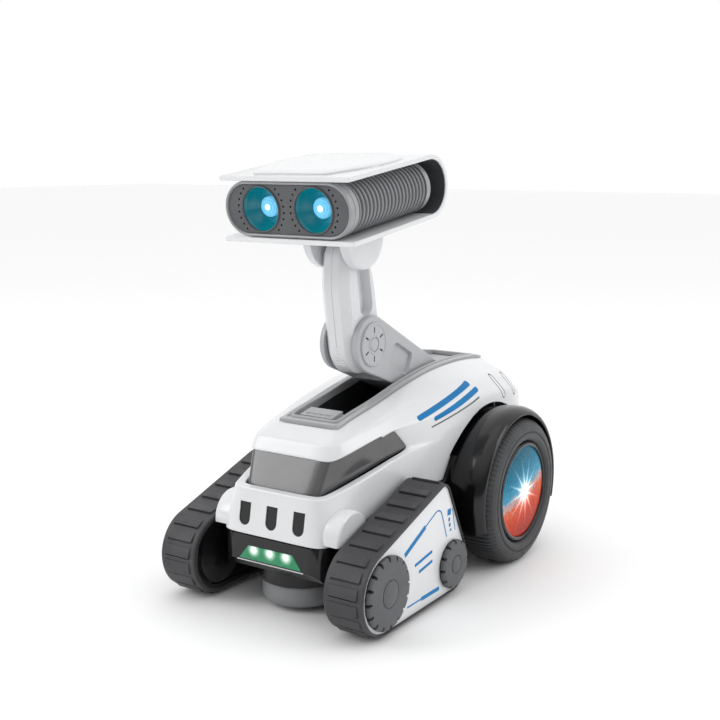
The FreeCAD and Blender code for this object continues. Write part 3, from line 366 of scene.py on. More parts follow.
def turned_x(profile, centre, turns=144, side=1, start=0.0, sweep=360.0, shape=None):
    """A closed profile of (x, radius) turned about the X axis through centre (y, z).

    shape(index, x, radius) may change the profile from one turn step to the next."""
    verts = []
    faces = []
    whole = sweep >= 360.0
    count = turns if whole else turns + 1
    for i in range(count):
        around = math.radians(start + sweep * i / turns)
        for x, radius in profile:
            if shape:
                x, radius = shape(i, x, radius)
            verts.append((side * x, centre[0] + radius * math.cos(around),
                          centre[1] + radius * math.sin(around)))
    size = len(profile)
    for i in range(turns):
        low = i * size
        high = ((i + 1) % count) * size
        for j in range(size):
            after = (j + 1) % size
            faces.append((low + j, low + after, high + after, high + j))
    if not whole:
        faces.append(tuple(range(size)))
        faces.append(tuple(reversed(range(turns * size, (turns + 1) * size))))
    return verts, faces


def lathe(name, profile, centre, slot, body, instead=(), turns=144, side=1, angle=30.0,
          shape=None):
    """A whole turned piece."""
    return make(name, *turned_x(profile, centre, turns, side, shape=shape), slot, body, instead,
                angle)


def prism(outline, low, high, side=1):
    """Points and faces of an outline (y, z) pushed along X from low to high."""
    count = len(outline)
    verts = [(side * x, y, z) for x in (low, high) for y, z in outline]
    faces = [tuple(range(count)), tuple(range(count, 2 * count))]
    faces += [(i, (i + 1) % count, count + (i + 1) % count, count + i) for i in range(count)]
    return verts, faces


def together(*parts):
    """Several (points, faces) as one."""
    verts = []
    faces = []
    for some_verts, some_faces in parts:
        offset = len(verts)
        verts += some_verts
        faces += [tuple(index + offset for index in face) for face in some_faces]
    return verts, faces


def loft(rings, closed_ends=True):
    """Points and faces through rings of equally many points."""
    size = len(rings[0])
    verts = [point for ring in rings for point in ring]
    faces = []
    for i in range(len(rings) - 1):
        for j in range(size):
            after = (j + 1) % size
            faces.append((i * size + j, i * size + after, (i + 1) * size + after,
                          (i + 1) * size + j))
    if closed_ends:
        faces.append(tuple(range(size)))
        faces.append(tuple(range((len(rings) - 1) * size, len(rings) * size)))
    return verts, faces


def closed_loft(rings):
    """A loft whose last ring joins its first."""
    return loft(rings + [rings[0]], False)


def tangent_angles(circles):
    """For each circle (u, v, radius), the outward angle of the line from it to the next."""
    angles = []
    for i, (u, v, radius) in enumerate(circles):
        next_u, next_v, next_radius = circles[(i + 1) % len(circles)]
        span = math.hypot(next_u - u, next_v - v)
        heading = math.atan2(next_v - v, next_u - u)
        angles.append(heading - math.pi / 2 + math.asin((radius - next_radius) / span))
    return angles


def belt_line(circles, step=6.0):
    """The line round circles (u, v, radius), listed anticlockwise, as points."""
    angles = tangent_angles(circles)
    points = []
    for i, (u, v, radius) in enumerate(circles):
        start = angles[i - 1]
        sweep = (angles[i] - start) % (2 * math.pi)
        pieces = max(1, int(math.degrees(sweep) / step))
        for k in range(pieces + 1):
            angle = start + sweep * k / pieces
            points.append((u + radius * math.cos(angle), v + radius * math.sin(angle)))
    return points


def moved(points, at, angle):
    """Points (u, v) turned by an angle and carried to a place."""
    c, s = math.cos(angle), math.sin(angle)
    return [(at[0] + u * c - v * s, at[1] + u * s + v * c) for u, v in points]


def sheer(outline_of, places, side):
    """A solid through outlines at places (x, inset)."""
    return loft([[(side * x, y, z) for y, z in outline_of(inset)] for x, inset in places])


def cutter(name, verts, faces):
    """A hidden solid for boolean cuts; carve() removes it once it has been used."""
    item = stand(name, mesh_of(name, verts, faces, clean=False))
    item.hide_render = True
    item.hide_viewport = True
    return item


def bake(item):
    """Apply a piece's modifiers to its mesh."""
    graph = bpy.context.evaluated_depsgraph_get()
    mesh = bpy.data.meshes.new_from_object(item.evaluated_get(graph))
    item.modifiers.clear()
    item.data = mesh


def carve(item, tools, operation="DIFFERENCE", angle=32.0):
    """Cut solids out of a piece, apply it, and remove the cutting solids."""
    for tool in tools:
        tool.hide_viewport = False
        modifier = item.modifiers.new("cut", "BOOLEAN")
        modifier.operation = operation
        modifier.solver = "EXACT"
        modifier.object = tool
    bake(item)
    for tool in tools:
        bpy.data.objects.remove(tool)
    shade_smooth(item.data, angle)
    return item


def smooth_wall(item, thickness):
    """Give a surface a wall on its inner side, smooth it, and apply both."""
    wall = item.modifiers.new("wall", "SOLIDIFY")
    wall.thickness = thickness * MM
    wall.offset = -1.0
    wall.use_even_offset = False
    smooth = item.modifiers.new("smooth", "SUBSURF")
    smooth.levels = smooth.render_levels = 3
    bake(item)


def curve_through(keys, at):
    """The value at a place on a smooth line through keys (place, value)."""
    places = [key[0] for key in keys]
    if at <= places[0]:
        return keys[0][1]
    if at >= places[-1]:
        return keys[-1][1]
    i = max(k for k in range(len(places) - 1) if places[k] <= at)
    (x0, y0), (x1, y1) = keys[i], keys[i + 1]
    before = keys[i - 1] if i > 0 else keys[i]
    after = keys[i + 2] if i + 2 < len(keys) else keys[i + 1]
    slope = (y1 - y0) / (x1 - x0)
    start = (y1 - before[1]) / (x1 - before[0]) if i > 0 else slope
    end = (after[1] - y0) / (after[0] - x0) if i + 2 < len(keys) else slope
    t = (at - x0) / (x1 - x0)
    span = x1 - x0
    return ((2 * t ** 3 - 3 * t ** 2 + 1) * y0 + (t ** 3 - 2 * t ** 2 + t) * span * start
            + (-2 * t ** 3 + 3 * t ** 2) * y1 + (t ** 3 - t ** 2) * span * end)


SLOT_OF = {part["node"]: part["material_slot"] for part in frame["record"]["subparts"]}
for node_name, node in NODES.items():
    node.data.materials.clear()
    node.data.materials.append(MATERIALS[SLOT_OF[node_name]])
    weld = node.modifiers.new("weld", "WELD")
    weld.merge_threshold = 5 * WELD
    soften(node, 0.25, 2, 40.0)

# ---------------------------------------------------------------- body shell
AXLE = (49.8, 39.0)
TAIL_Y = 97.3
SHELL_WALL, VISOR_WALL, VISOR_INSET = 2.2, 1.6, 1.3
ARCH_RADIUS = 45.6
TRIM_HALF = 17.6
# Points of a level are numbered from the nose. The side window ends at one of
# them; a line of support goes from its front reach to its rear reach between two
WINDOW_END = 9
REACH_FRONT, REACH_REAR = 5, 12
SILL_LEVEL, EAVE_LEVEL = 3, 4


# Each level of the shell is a line round the body, from the middle of the nose
# to the middle of the tail: its front place, front corner, side stations and
# tail, as (half width, y, z).
def level(front_y, front_z, half, corner, side, tail_half, tail_z, tail_y=TAIL_Y,
          tail_corner=12.0):
    """Points of one level. side is a list of (y, half width, z)."""
    points = [(0.0, front_y, front_z), (half * 0.42, front_y, front_z),
              (half - corner, front_y, front_z),
              (half - corner * 0.30, front_y + corner * 0.26, front_z),
              (half, front_y + corner, front_z)]
    points += [(wide, y, z) for y, wide, z in side]
    points += [(tail_half - tail_corner * 0.26, tail_y - tail_corner * 0.22, tail_z),
               (tail_half - tail_corner, tail_y, tail_z), (tail_half * 0.35, tail_y, tail_z),
               (0.0, tail_y, tail_z)]
    return points


STATIONS = (-62.0, -50.0, -36.0, -24.0, -12.0, 4.0, 20.0, 36.0, 52.0, 68.0, 82.0)
HEM = [(-90, 38.3), (-72, 38.6), (-52, 45.5), (-10, 50.0), (8, 52.0), (20, 50), (97, 44.0)]
HEM_HALF = [(-78, 31.9), (-50, 33.6), (-30, 35.0), (-12, 36.8), (10, 40.6), (35, 43.4), (60, 43.8),
            (84, 43.0)]
BELT = [(-78, 60.6), (-50, 65.5), (-30, 70.0), (-12, 72.0), (10, 72.0), (35, 73.0), (84, 72.0)]
BELT_HALF = [(-78, 28.6), (-50, 32.6), (-30, 34.9), (-12, 37.6), (10, 42.0), (35, 45.1), (60, 45.4),
             (84, 44.6)]
SILL = [(-72, 60.9), (-50, 65.7), (-30, 70.2), (-19, 72.9), (0, 76.0), (35, 79.0), (84, 78.0)]
SILL_HALF = [(-72, 24.6), (-50, 28.6), (-30, 32.0), (-19, 34.6), (-8, 38.3), (10, 41.9), (35, 45.0),
             (60, 45.3), (84, 44.8)]
EAVE = [(-66, 75.9), (-50, 79.4), (-30, 83.6), (-12, 85.6), (10, 87.0), (35, 88.5), (60, 89.0),
        (84, 88.0)]
EAVE_HALF = [(-66, 26.2), (-50, 29.2), (-30, 32.7), (-12, 36.4), (10, 40.8), (35, 43.4), (60, 43.8),
             (84, 43.6)]
SHOULDER = [(-62, 82.6), (-50, 85.4), (-30, 89.4), (-12, 92.6), (10, 95.4), (35, 97.6), (60, 98.0),
            (84, 96.8)]
SHOULDER_HALF = [(-62, 24.6), (-50, 26.6), (-30, 28.8), (-12, 30.8), (10, 33.8), (35, 36.2),
                 (60, 36.6), (84, 36.0)]
ROOF = [(-70, 84.6), (-54, 87.2), (-44, 89.5), (-20, 93.6), (2, 98.2), (25, 101.9), (45, 103.4),
        (70, 103.2), (92, 100.6)]


def side_line(half, high):
    return [(y, curve_through(half, y), curve_through(high, y)) for y in STATIONS]


def shell_levels():
    """The levels of the shell, from hem to trim."""
    hem_side = side_line(HEM_HALF, HEM)
    belt_side = side_line(BELT_HALF, BELT)
    sill_side = side_line(SILL_HALF, SILL)
    eave_side = side_line(EAVE_HALF, EAVE)
    # the rear end of the side window leans: its lower corner lies further back
    sill_side[4] = (-19.0, 34.6, 72.9)
    eave_side[4] = (-29.6, 33.0, 83.7)
    sill_side[3] = (-31.0, 31.9, 70.0)
    eave_side[3] = (-39.0, 31.4, 81.8)
    lines = [
        level(-85.3, 38.3, 31.3, 7.5, hem_side, 38.0, 44.0),
        level(-83.4, 49.0, 29.5, 7.3,
              [(y, low_half * 0.45 + high_half * 0.55, (low + high) / 2)
               for (y, low_half, low), (y, high_half, high) in zip(hem_side, belt_side)],
              39.0, 57.0),
        level(-81.5, 60.0, 27.6, 7.0, belt_side, 42.2, 70.0, tail_corner=8.5),
        level(-76.9, 60.3, 23.4, 4.6, sill_side, 42.8, 75.0, tail_corner=8.0),
        level(-70.7, 75.5, 24.9, 4.4, eave_side, 42.2, 82.5, tail_corner=8.0),
        level(-68.2, 82.3, 23.6, 4.6, side_line(SHOULDER_HALF, SHOULDER), 33.6, 92.4, 95.4, 9.5),
    ]
    trim = [(0.0, -54.3, 86.9), (7.5, -54.3, 86.9), (14.3, -54.3, 86.9), (16.8, -53.4, 87.1),
            (TRIM_HALF, -51.0, 87.7)]
    trim += [(TRIM_HALF, y, curve_through(ROOF, y))
             for y in (-46.0, -38.0, -30.0, -20.0, -10.0, 4.0, 20.0, 36.0, 52.0, 68.0, 80.0)]
    trim += [(TRIM_HALF, 90.0, 101.0), (15.0, 92.2, 100.6), (7.0, 92.2, 100.6), (0.0, 92.2, 100.6)]
    lines.append(trim)
    return lines


def with_support(lines, reach):
    """Adds a line close to each side of every level, which keeps its edge crisp.

    reach[i] is how far, in mm, for level i: (below at the front, below at the rear,
    above at the front, above at the rear)."""
    result = []
    kinds = []
    count = len(lines[0])
    for i, line in enumerate(lines):
        below_front, below_rear, above_front, above_rear = reach[i]
        for other, front, rear, where in ((i - 1, below_front, below_rear, -1), (i, 0, 0, 0),
                                          (i + 1, above_front, above_rear, 1)):
            if where == 0:
                result.append(line)
                kinds.append(i)
                continue
            if other < 0 or other >= len(lines) or max(front, rear) <= 0:
                continue
            near = []
            for j in range(count):
                share = min(1.0, max(0.0, (j - REACH_FRONT) / (REACH_REAR - REACH_FRONT)))
                size = front + (rear - front) * share
                step = Vector(lines[other][j]) - Vector(line[j])
                size = min(size, step.length * 0.42)
                near.append(tuple(Vector(line[j]) + step.normalized() * size))
            result.append(near)
            kinds.append(i + 0.3 * where)
    return result, kinds


def ring_surface(lines, skip):
    """Points and faces of half lines and their mirror image, as rings round the body.

    skip(row, column) says which faces to leave out."""
    rings = []
    for line in lines:
        rings.append(list(line) + [(-x, y, z) for x, y, z in reversed(line[1:-1])])
    size = len(rings[0])
    half = len(lines[0])
    verts = [point for ring in rings for point in ring]
    faces = []
    for i in range(len(rings) - 1):
        for j in range(size):
            column = j if j < half - 1 else size - 1 - j
            if not skip(i, column):
                after = (j + 1) % size
                faces.append((i * size + j, i * size + after, (i + 1) * size + after,
                              (i + 1) * size + j))
    return verts, faces


levels = shell_levels()
REACH = [(0, 0, 1.2, 1.2), (0, 0, 0, 0), (1.2, 5.0, 1.0, 3.0), (0.9, 3.0, 0.9, 2.0),
         (0.9, 2.0, 0.9, 5.0), (1.3, 8.0, 1.6, 8.0), (1.5, 1.5, 0, 0)]
lines, kinds = with_support(levels, REACH)
sill_row = kinds.index(SILL_LEVEL)
eave_row = kinds.index(EAVE_LEVEL)
verts, faces = ring_surface(
    lines, lambda row, column: sill_row <= row < eave_row and column < WINDOW_END)
shell = make("shell_outer", verts, faces, "shell_white", "chassis", ("body_shell",), 60)
smooth_wall(shell, SHELL_WALL)
arches = [cutter(f"arch_{side}", *prism(arc(AXLE, ARCH_RADIUS, 3, 120), 39.8, 75.0, side))
          for side in (1, -1)]

SLOT_PITCH, SLOT_HALF, SLOT_LOW, SLOT_HIGH = 15.8, 3.3, 45.6, 53.4
FILL_SHARE = 0.985
slot_solids = []
fill_solids = []
for x in (-SLOT_PITCH, 0.0, SLOT_PITCH):
    outline = arc((x, SLOT_LOW), SLOT_HALF, 12, 16, 180)
    outline += [(x + SLOT_HALF, SLOT_HIGH), (x - SLOT_HALF, SLOT_HIGH)]
    inner = [(x + (u - x) * FILL_SHARE, v) for u, v in outline]
    for line, solids in ((outline, slot_solids), (inner, fill_solids)):
        solids.append(loft([[(u, y, v) for u, v in line] for y in (-92.0, -74.0)]))


# Outlined vent panels and plain printed stripes, let into each side
def across_sides(bars):
    """Round-ended bars (start, end, width) between places (y, z), as solids on both sides."""
    solids = []
    for start, end, width in bars:
        long = math.dist(start, end)
        angle = math.atan2(end[1] - start[1], end[0] - start[0])
        line = moved(belt_line([(0, 0, width / 2), (long, 0, width / 2)], 15), start, angle)
        solids += [prism(line, 24.0, 52.0, side) for side in (1, -1)]
    return together(*solids)


VENTS = [((63.2, 95.6), (66.4, 86.2)), ((76.8, 94.6), (80.2, 85.6)), ((88.6, 92.4), (91.0, 84.6))]
STRIPES = [((-10.0, 86.4), (38.0, 96.4), 2.4), ((1.0, 84.6), (42.0, 93.0), 2.4)]
LINES = [((-2.0, 80.8), (40.0, 89.2), 0.8)]
VENT_PANEL, VENT_OPENING = 2.4, 3.7
VENT_SINK, SLOT_SINK, LOUVRE_SINK = 0.4, 0.45, 0.6


def vent_tool(name, width):
    return cutter(name, *across_sides([(*vent, width) for vent in VENTS]))


def let_in(name, tool, slot):
    """The part of the shell inside a tool, as a piece of its own."""
    piece = finish_piece(name, shell.data.copy(), slot, "chassis")
    piece.data.materials.clear()
    piece.data.materials.append(MATERIALS[slot])
    return carve(piece, [tool], "INTERSECT")


def sink(piece, axis, depth):
    """Move a piece toward the middle of the body along an axis: 0 for X, 1 for Y."""
    for vertex in piece.data.vertices:
        vertex.co[axis] -= math.copysign(depth * MM, vertex.co[axis])


let_in("vent_panels", vent_tool("vent_fill", VENT_PANEL), "shell_white")
sink(let_in("vent_backs", vent_tool("vent_back", VENT_OPENING), "insert_black"), 0, VENT_SINK)
slot_tool = cutter("slot_fill", *together(*fill_solids))
sink(let_in("nose_slot_fills", slot_tool, "insert_black"), 1, SLOT_SINK)


def through_back(half, low, high, corner):
    """A round-cornered solid through the rear wall."""
    outline = rounded([(half, low), (half, high), (-half, high), (-half, low)], corner)
    return loft([[(u, y, v) for u, v in outline] for y in (72.0, 99.0)])


HATCH_HALF, HATCH_LOW, HATCH_HIGH, HATCH_GAP = 24, 50, 82, 0.5
LOUVRE_HALF, LOUVRE_TALL = 15, 2.2
hatch_cut = cutter("hatch_cut", *through_back(HATCH_HALF, HATCH_LOW, HATCH_HIGH, 5))
hatch_fill = cutter("hatch_fill", *through_back(HATCH_HALF - HATCH_GAP, HATCH_LOW + HATCH_GAP,
                                                HATCH_HIGH - HATCH_GAP, 4.6))
louvres = together(*[through_back(LOUVRE_HALF, z, z + LOUVRE_TALL, 1.0)
                     for z in (58.0, 63.0, 68.0, 73.0)])
rear_panel = let_in("rear_panel", hatch_fill, "shell_white")
louvre_tool = cutter("louvre_fill", *louvres)
sink(let_in("rear_louvre_fills", louvre_tool, "insert_black"), 1, LOUVRE_SINK)
carve(rear_panel, [cutter("louvre_cut", *louvres)])
stripe_cuts = []
for name, bands, slot in (("side_stripes", STRIPES, "decal_blue"),
                          ("side_lines", LINES, "decal_grey")):
    let_in(name, cutter(name + "_tool", *across_sides(bands)), slot)
    stripe_cuts.append(cutter(name + "_cut", *across_sides(bands)))
carve(shell, arches + [cutter("slots", *together(*slot_solids)),
                       vent_tool("vent_cut", VENT_OPENING), hatch_cut] + stripe_cuts)

# The visor fills the window and overlaps the shell a little above, below and behind
VISOR_LAP = 0.8
visor_lines = []
for index, across, lap in ((SILL_LEVEL, EAVE_LEVEL, VISOR_LAP), (SILL_LEVEL, EAVE_LEVEL, 0.0),
                           (EAVE_LEVEL, SILL_LEVEL, 0.0), (EAVE_LEVEL, SILL_LEVEL, VISOR_LAP)):
    base = levels[index]
    line = []
    for j in range(WINDOW_END + 1):
        here = Vector(base[j])
        if lap:
            here = here + (here - Vector(levels[across][j])).normalized() * lap
        line.append(tuple(here))
    ends = [Vector(base[WINDOW_END]), Vector(base[WINDOW_END + 1])]
    line.append(tuple(Vector(line[-1]) + (ends[1] - ends[0]) * 0.18))
    visor_lines.append(line)
size = WINDOW_END + 2
ring_points = []
for line in visor_lines:
    ring_points += [(-x, y, z) for x, y, z in reversed(line[1:])] + line
wide = 2 * size - 1
faces = [(i * wide + j, i * wide + j + 1, (i + 1) * wide + j + 1, (i + 1) * wide + j)
         for i in range(3) for j in range(wide - 1)]
visor = make("visor", ring_points, faces, "visor_smoke", "chassis", ("window_visor",), 60)
inward = visor.modifiers.new("inward", "DISPLACE")
inward.strength = -VISOR_INSET * MM
inward.mid_level = 0.0
smooth_wall(visor, VISOR_WALL)

# ---------------------------------------------------------------- head
# Head pieces are drawn in the head's own level frame, whose origin is the
# middle of the face: X across, Y back, Z up.
TILT = math.radians(8.0)
FACE_Y, FACE_Z = -69.8, 190.3
TUBE_REACH = 23.0
EYE_X = 15.1
WRAP_BACK = 69.5
WRAP_OUT, WRAP_IN, WRAP_HALF = 15.5, 13.2, 36.85
PAN_BACK = 43.6


def on_head(shape):
    """Points of the head's own frame at their place in the model."""
    verts, faces = shape
    c, s = math.cos(TILT), math.sin(TILT)
    return [(x, FACE_Y + y * c - z * s, FACE_Z + y * s + z * c) for x, y, z in verts], faces


def tube_ring(y, radius):
    """The head's round-ended line at a depth."""
    ends = [(-TUBE_REACH, 0, radius), (TUBE_REACH, 0, radius)]
    return [(u, y, v) for u, v in belt_line(ends, 5)]


def tube_loop(profile, start=0.0):
    """A closed profile of (y, radius) carried round the head's round-ended line."""
    return closed_loft([tube_ring(start + y, radius) for y, radius in profile])


def turned_y(profile, at, turns=72, whole=False):
    """A profile of (y, radius) turned about a line along Y at (x, z)."""
    rings = [[(x, y, z) for x, z in circle(at, radius, turns)] for y, radius in profile]
    return closed_loft(rings) if whole else loft(rings)


def pan_bore(radius, step, low, high):
    """A solid round the pan axis, for cutting."""
    line = arc((0.0, PAN_BACK), radius, step, 360 // step)
    return on_head(loft([[(x, y, z) for x, y in line] for z in (low, high)]))


def wrap_ring(path, trim):
    """The wrap's cross-section at a place on its C-shaped path, drawn in by trim."""
    out, inner, half = WRAP_OUT - trim, WRAP_IN + trim, WRAP_HALF - trim
    section = rounded([(out, -half), (out, half), (inner, half), (inner, -half)], 0.55, 3)
    kind, place = path
    if kind == "arc":
        return [(x, WRAP_BACK + r * math.cos(place), r * math.sin(place)) for r, x in section]
    return [(x, place, kind * r) for r, x in section]


wrap_path = [((-1, -1.0), 0.3), ((-1, -0.7), 0.0), ((-1, 20.0), 0.0), ((-1, 45.0), 0.0)]
wrap_path += [(("arc", math.radians(angle)), 0.0) for angle in range(-90, 91, 5)]
wrap_path += [((1, 45.0), 0.0), ((1, 20.0), 0.0), ((1, -0.7), 0.0), ((1, -1.0), 0.3)]
wrap = loft([wrap_ring(path, trim) for path, trim in wrap_path])
wrap_piece = make("head_wrap_shell", *on_head(wrap), "shell_white", "head", ("head_wrap",), 30)
carve(wrap_piece, [cutter("pan_hole", *pan_bore(5.1, 5, -20.0, -10.0))], angle=30)


def pad_ring(inset, z):
    """The raised pad's outline, drawn in by an inset, at a height."""
    corners = [(-21.0, 4.5), (21.0, 4.5), (33.0, 31.0), (31.0, 56.0), (19.0, 66.0), (-19.0, 66.0),
               (-31.0, 56.0), (-33.0, 31.0)]
    spread = [(x * (33.0 - inset) / 33.0, 35.25 + (y - 35.25) * (30.75 - inset) / 30.75)
              for x, y in corners]
    return [(x, y, z) for x, y in rounded(spread, [2.0, 2.0, 16.0, 9.0, 7.0, 7.0, 9.0, 16.0], 6)]


pad = loft([pad_ring(-0.05, 15.35), pad_ring(0.0, 16.1), pad_ring(0.25, 16.45),
            pad_ring(1.75, 17.05), pad_ring(2.2, 17.15), pad_ring(6.0, 17.19)])
make("head_pad", *on_head(pad), "shell_white", "head", (), 28)
liner_rings = []
for angle in range(-90, 91, 6):
    turn = math.radians(angle)
    liner_rings.append([(x, WRAP_BACK + r * math.cos(turn), r * math.sin(turn))
                        for r, x in ((13.35, -36.3), (13.35, 36.3), (12.85, 36.3), (12.85, -36.3))])
make("wrap_liner", *on_head(loft(liner_rings)), "tube_charcoal", "head")

bezel_profile = [(0.95, 11.45), (0.3, 11.7), (0.0, 12.2), (0.25, 12.7), (0.9, 13.0), (3.4, 13.0),
                 (3.5, 12.6), (3.8, 12.6), (3.9, 12.9), (6.6, 12.9), (7.0, 12.7), (7.0, 11.4)]
make("bezel", *on_head(tube_loop(bezel_profile)), "bezel_grey", "head", ("head_bezel",), 30)

RIBS = 19
RIB_START, RIB_PITCH = 7.3, 58.6 / RIBS
rib_profile = [(0.25, 10.8), (0.3, 12.2), (0.5, 12.55), (0.95, 12.75), (1.35, 12.75),
               (1.8, 12.55), (2.0, 12.2), (2.05, 10.8)]
ribs = [tube_loop(rib_profile, RIB_START + index * RIB_PITCH) for index in range(RIBS)]
rib_piece = make("head_ribs", *on_head(together(*ribs)), "rib_grey", "head", (), 35)
screw_room = pan_bore(8.2, 6, -18.0, -9.0)
carve(rib_piece, [cutter("rib_room", *screw_room)], angle=35)
core = tube_loop([(7.0, 11.1), (66.0, 11.1), (66.0, 9.9), (7.0, 9.9)])
core_piece = make("head_tube_core", *on_head(core), "tube_charcoal", "head", ("head_tube",), 35)
carve(core_piece, [cutter("core_room", *screw_room)])

cap_ring = [(65.9, 12.95), (69.2, 12.95), (69.8, 12.6), (70.0, 12.1), (69.7, 11.6), (68.4, 11.4),
            (68.4, 9.0), (67.0, 9.0), (66.4, 11.2)]
cap_web = loft([tube_ring(67.1, 9.4), tube_ring(68.1, 9.4)])
make("rear_cap", *on_head(together(tube_loop(cap_ring), cap_web)), "bezel_grey", "head",
     ("head_rear_cap",), 30)

plate = loft([tube_ring(3.0, 11.38), tube_ring(1.15, 11.38), tube_ring(1.0, 11.2)])
face = make("eye_panel", *on_head(plate), "face_charcoal", "head", ("face_plate",), 30)
holes = []
for side in (-1, 1):
    holes.append(turned_y([(-1.0, 10.9), (5.0, 10.9)], (side * EYE_X, 0.0)))
    for way in (0, 180):
        for at in arc((side * EYE_X, 0.0), 13.2, 13, 8, way - 45.5):
            holes.append(turned_y([(0.0, 0.55), (2.2, 0.55)], at, 10))
carve(face, [cutter("face_holes", *on_head(together(*holes)))], angle=30)
rim_profile = [(1.6, 11.1), (0.8, 11.05), (0.35, 10.85), (0.2, 10.6), (0.3, 10.35), (0.8, 10.2),
               (3.0, 10.15), (3.0, 11.0)]
cone_profile = [(1.3, 10.17), (1.5, 10.0), (3.0, 9.3), (5.0, 7.9), (7.0, 6.2), (8.4, 5.0),
                (9.4, 4.9), (9.4, 5.6), (7.4, 6.9), (5.4, 8.6), (3.2, 9.9), (1.7, 10.18)]
led_profile = [(6.0, 0.02), (6.05, 1.9), (6.5, 2.1), (6.5, 2.4), (6.3, 2.6), (6.4, 3.3), (6.9, 3.5),
               (6.9, 3.75), (6.7, 3.95), (6.9, 4.5), (7.5, 4.85), (9.3, 4.85), (9.3, 0.02)]
core_profile = [(5.0, 0.02), (5.1, 0.6), (5.4, 1.1), (5.9, 1.4), (6.6, 1.45), (6.6, 0.02)]
for name, profile, slot, whole, instead in (
        ("eye_rims", rim_profile, "face_charcoal", True, ()),
        ("eye_cones", cone_profile, "eye_teal", True, ("eye_reflectors",)),
        ("eye_lamps", led_profile, "led_blue", False, ("eye_leds",)),
        ("eye_lamp_cores", core_profile, "led_core", False, ())):
    pair = together(*[turned_y(profile, (side * EYE_X, 0.0), 72, whole) for side in (-1, 1)])
    make(name, *on_head(pair), slot, "head", instead, 30)

# ---------------------------------------------------------------- rear wheels and fenders
TREAD_ROOT = 36.0
tyre_profile = [(47.0, 27.06), (45.4, 27.6), (45.0, 29.0), (45.0, 36.6), (45.6, 38.0),
                (46.6, 38.75), (47.8, 39.0), (52.0, 39.0), (55.0, 39.0), (58.0, 39.0),
                (60.6, 38.95), (62.6, 38.5), (64.2, 37.5), (65.4, 36.1), (66.1, 34.4),
                (66.35, 33.0), (66.35, 32.3), (65.9, 32.0), (65.9, 31.6), (66.35, 31.3),
                (66.5, 30.4), (66.3, 29.2), (65.6, 28.0), (64.6, 27.3), (63.0, 27.06)]


def tread(index, x, radius):
    """Cuts narrow grooves across the tread, four steps to a bar."""
    if radius > TREAD_ROOT and index % 4 >= 2:
        return x, radius - 0.8 * min(1.0, (radius - TREAD_ROOT) / 2.0)
    return x, radius


rim_profile = [(45.6, 6.1), (54.4, 6.1), (54.4, 8.6), (48.2, 9.4), (48.2, 25.0), (62.4, 25.0),
               (62.4, 24.35), (64.9, 24.3), (65.5, 24.6), (65.7, 25.2), (65.4, 26.0), (64.5, 26.6),
               (64.0, 27.0), (45.6, 27.0)]
# The lens is stepped in rings, over a low dome
LENS_RADIUS, LENS_EDGE, LENS_RISE = 22.9, 64.7, 1.45
lens_line = [(62.7, 0.02), (62.7, 24.2), (64.5, 24.2), (64.75, 23.4), (LENS_EDGE, LENS_RADIUS)]
for step in range(1, 12):
    radius = LENS_RADIUS * (1.0 - step / 11.5)
    crown = LENS_EDGE + LENS_RISE * (1.0 - (radius / LENS_RADIUS) ** 2)
    lens_line += [(crown - 0.16, radius + 0.25), (crown, radius)]
lens_line.append((66.15, 0.02))
fender_profile = [(42.0, 14.0), (43.4, 14.0), (43.4, 40.4), (62.9, 40.4), (63.5, 40.45),
                  (63.95, 40.9), (63.95, 41.6), (63.5, 42.4), (62.3, 43.4), (60.6, 44.3),
                  (58.6, 44.85), (56.6, 45.0), (54.6, 44.95), (52.0, 44.7), (49.0, 44.2),
                  (46.0, 43.5), (43.4, 42.7), (42.0, 42.2)]
for word, side in SIDES:
    body = "wheel_" + word
    lathe(f"tyre_{word}", tyre_profile, AXLE, "tyre_rubber", body, (f"rear_tyre_{word}",),
          360, side, 28, shape=tread)
    lathe(f"rim_{word}", rim_profile, AXLE, "rim_black", body, (f"rear_rim_{word}",), 160, side)
    lathe(f"lens_{word}", lens_line, AXLE, "lens_clear", body, (f"rear_lens_{word}",), 160, side,
          8)
fender_sides = [turned_x(fender_profile, AXLE, 160, side, -18.0, 216.0) for side in (1, -1)]
make("fender_bands", *together(*fender_sides), "fender_black", "chassis", ("fenders",), 32)

# ---------------------------------------------------------------- track pods
# Front wheel, rear wheel and top corner of a pod, as (y, z, radius)
POD = ((-75.8, 21.7, 20.0), (-15.5, 17.3, 14.8), (-24.5, 53.0, 6.8))
BELT_IN, BELT_OUT, BELT_THICK = 38.0, 59.4, 2.2
REBATE, EDGE_THICK = 57.4, 1.1


def pod_circles(inset):
    return [(y, z, radius - inset) for y, z, radius in POD]


def pod_line(inset):
    """The pod's outline (y, z), drawn in by an inset."""
    return belt_line(pod_circles(inset), 5)


def belt_runs(circles):
    """The arcs and straight runs of a belt in turn, as (kind, length, values)."""
    angles = tangent_angles(circles)
    runs = []
    for i, (y, z, radius) in enumerate(circles):
        start, end = angles[i - 1], angles[i]
        sweep = (end - start) % (2 * math.pi)
        runs.append(("arc", radius * sweep, (y, z, radius, start)))
        next_y, next_z, next_radius = circles[(i + 1) % len(circles)]
        first = (y + radius * math.cos(end), z + radius * math.sin(end))
        last = (next_y + next_radius * math.cos(end), next_z + next_radius * math.sin(end))
        runs.append(("run", math.dist(first, last), (first, last, end)))
    return runs


RUNS = belt_runs(pod_circles(0.0))


def belt_place(distance, rise):
    """The point (y, z) at a distance along the belt and a height above it."""
    for kind, length, values in RUNS:
        if distance <= length:
            break
        distance -= length
    if kind == "arc":
        y, z, radius, start = values
        angle = start + distance / radius
        return y + (radius + rise) * math.cos(angle), z + (radius + rise) * math.sin(angle)
    first, last, angle = values
    share = distance / length
    return (first[0] + (last[0] - first[0]) * share + rise * math.cos(angle),
            first[1] + (last[1] - first[1]) * share + rise * math.sin(angle))


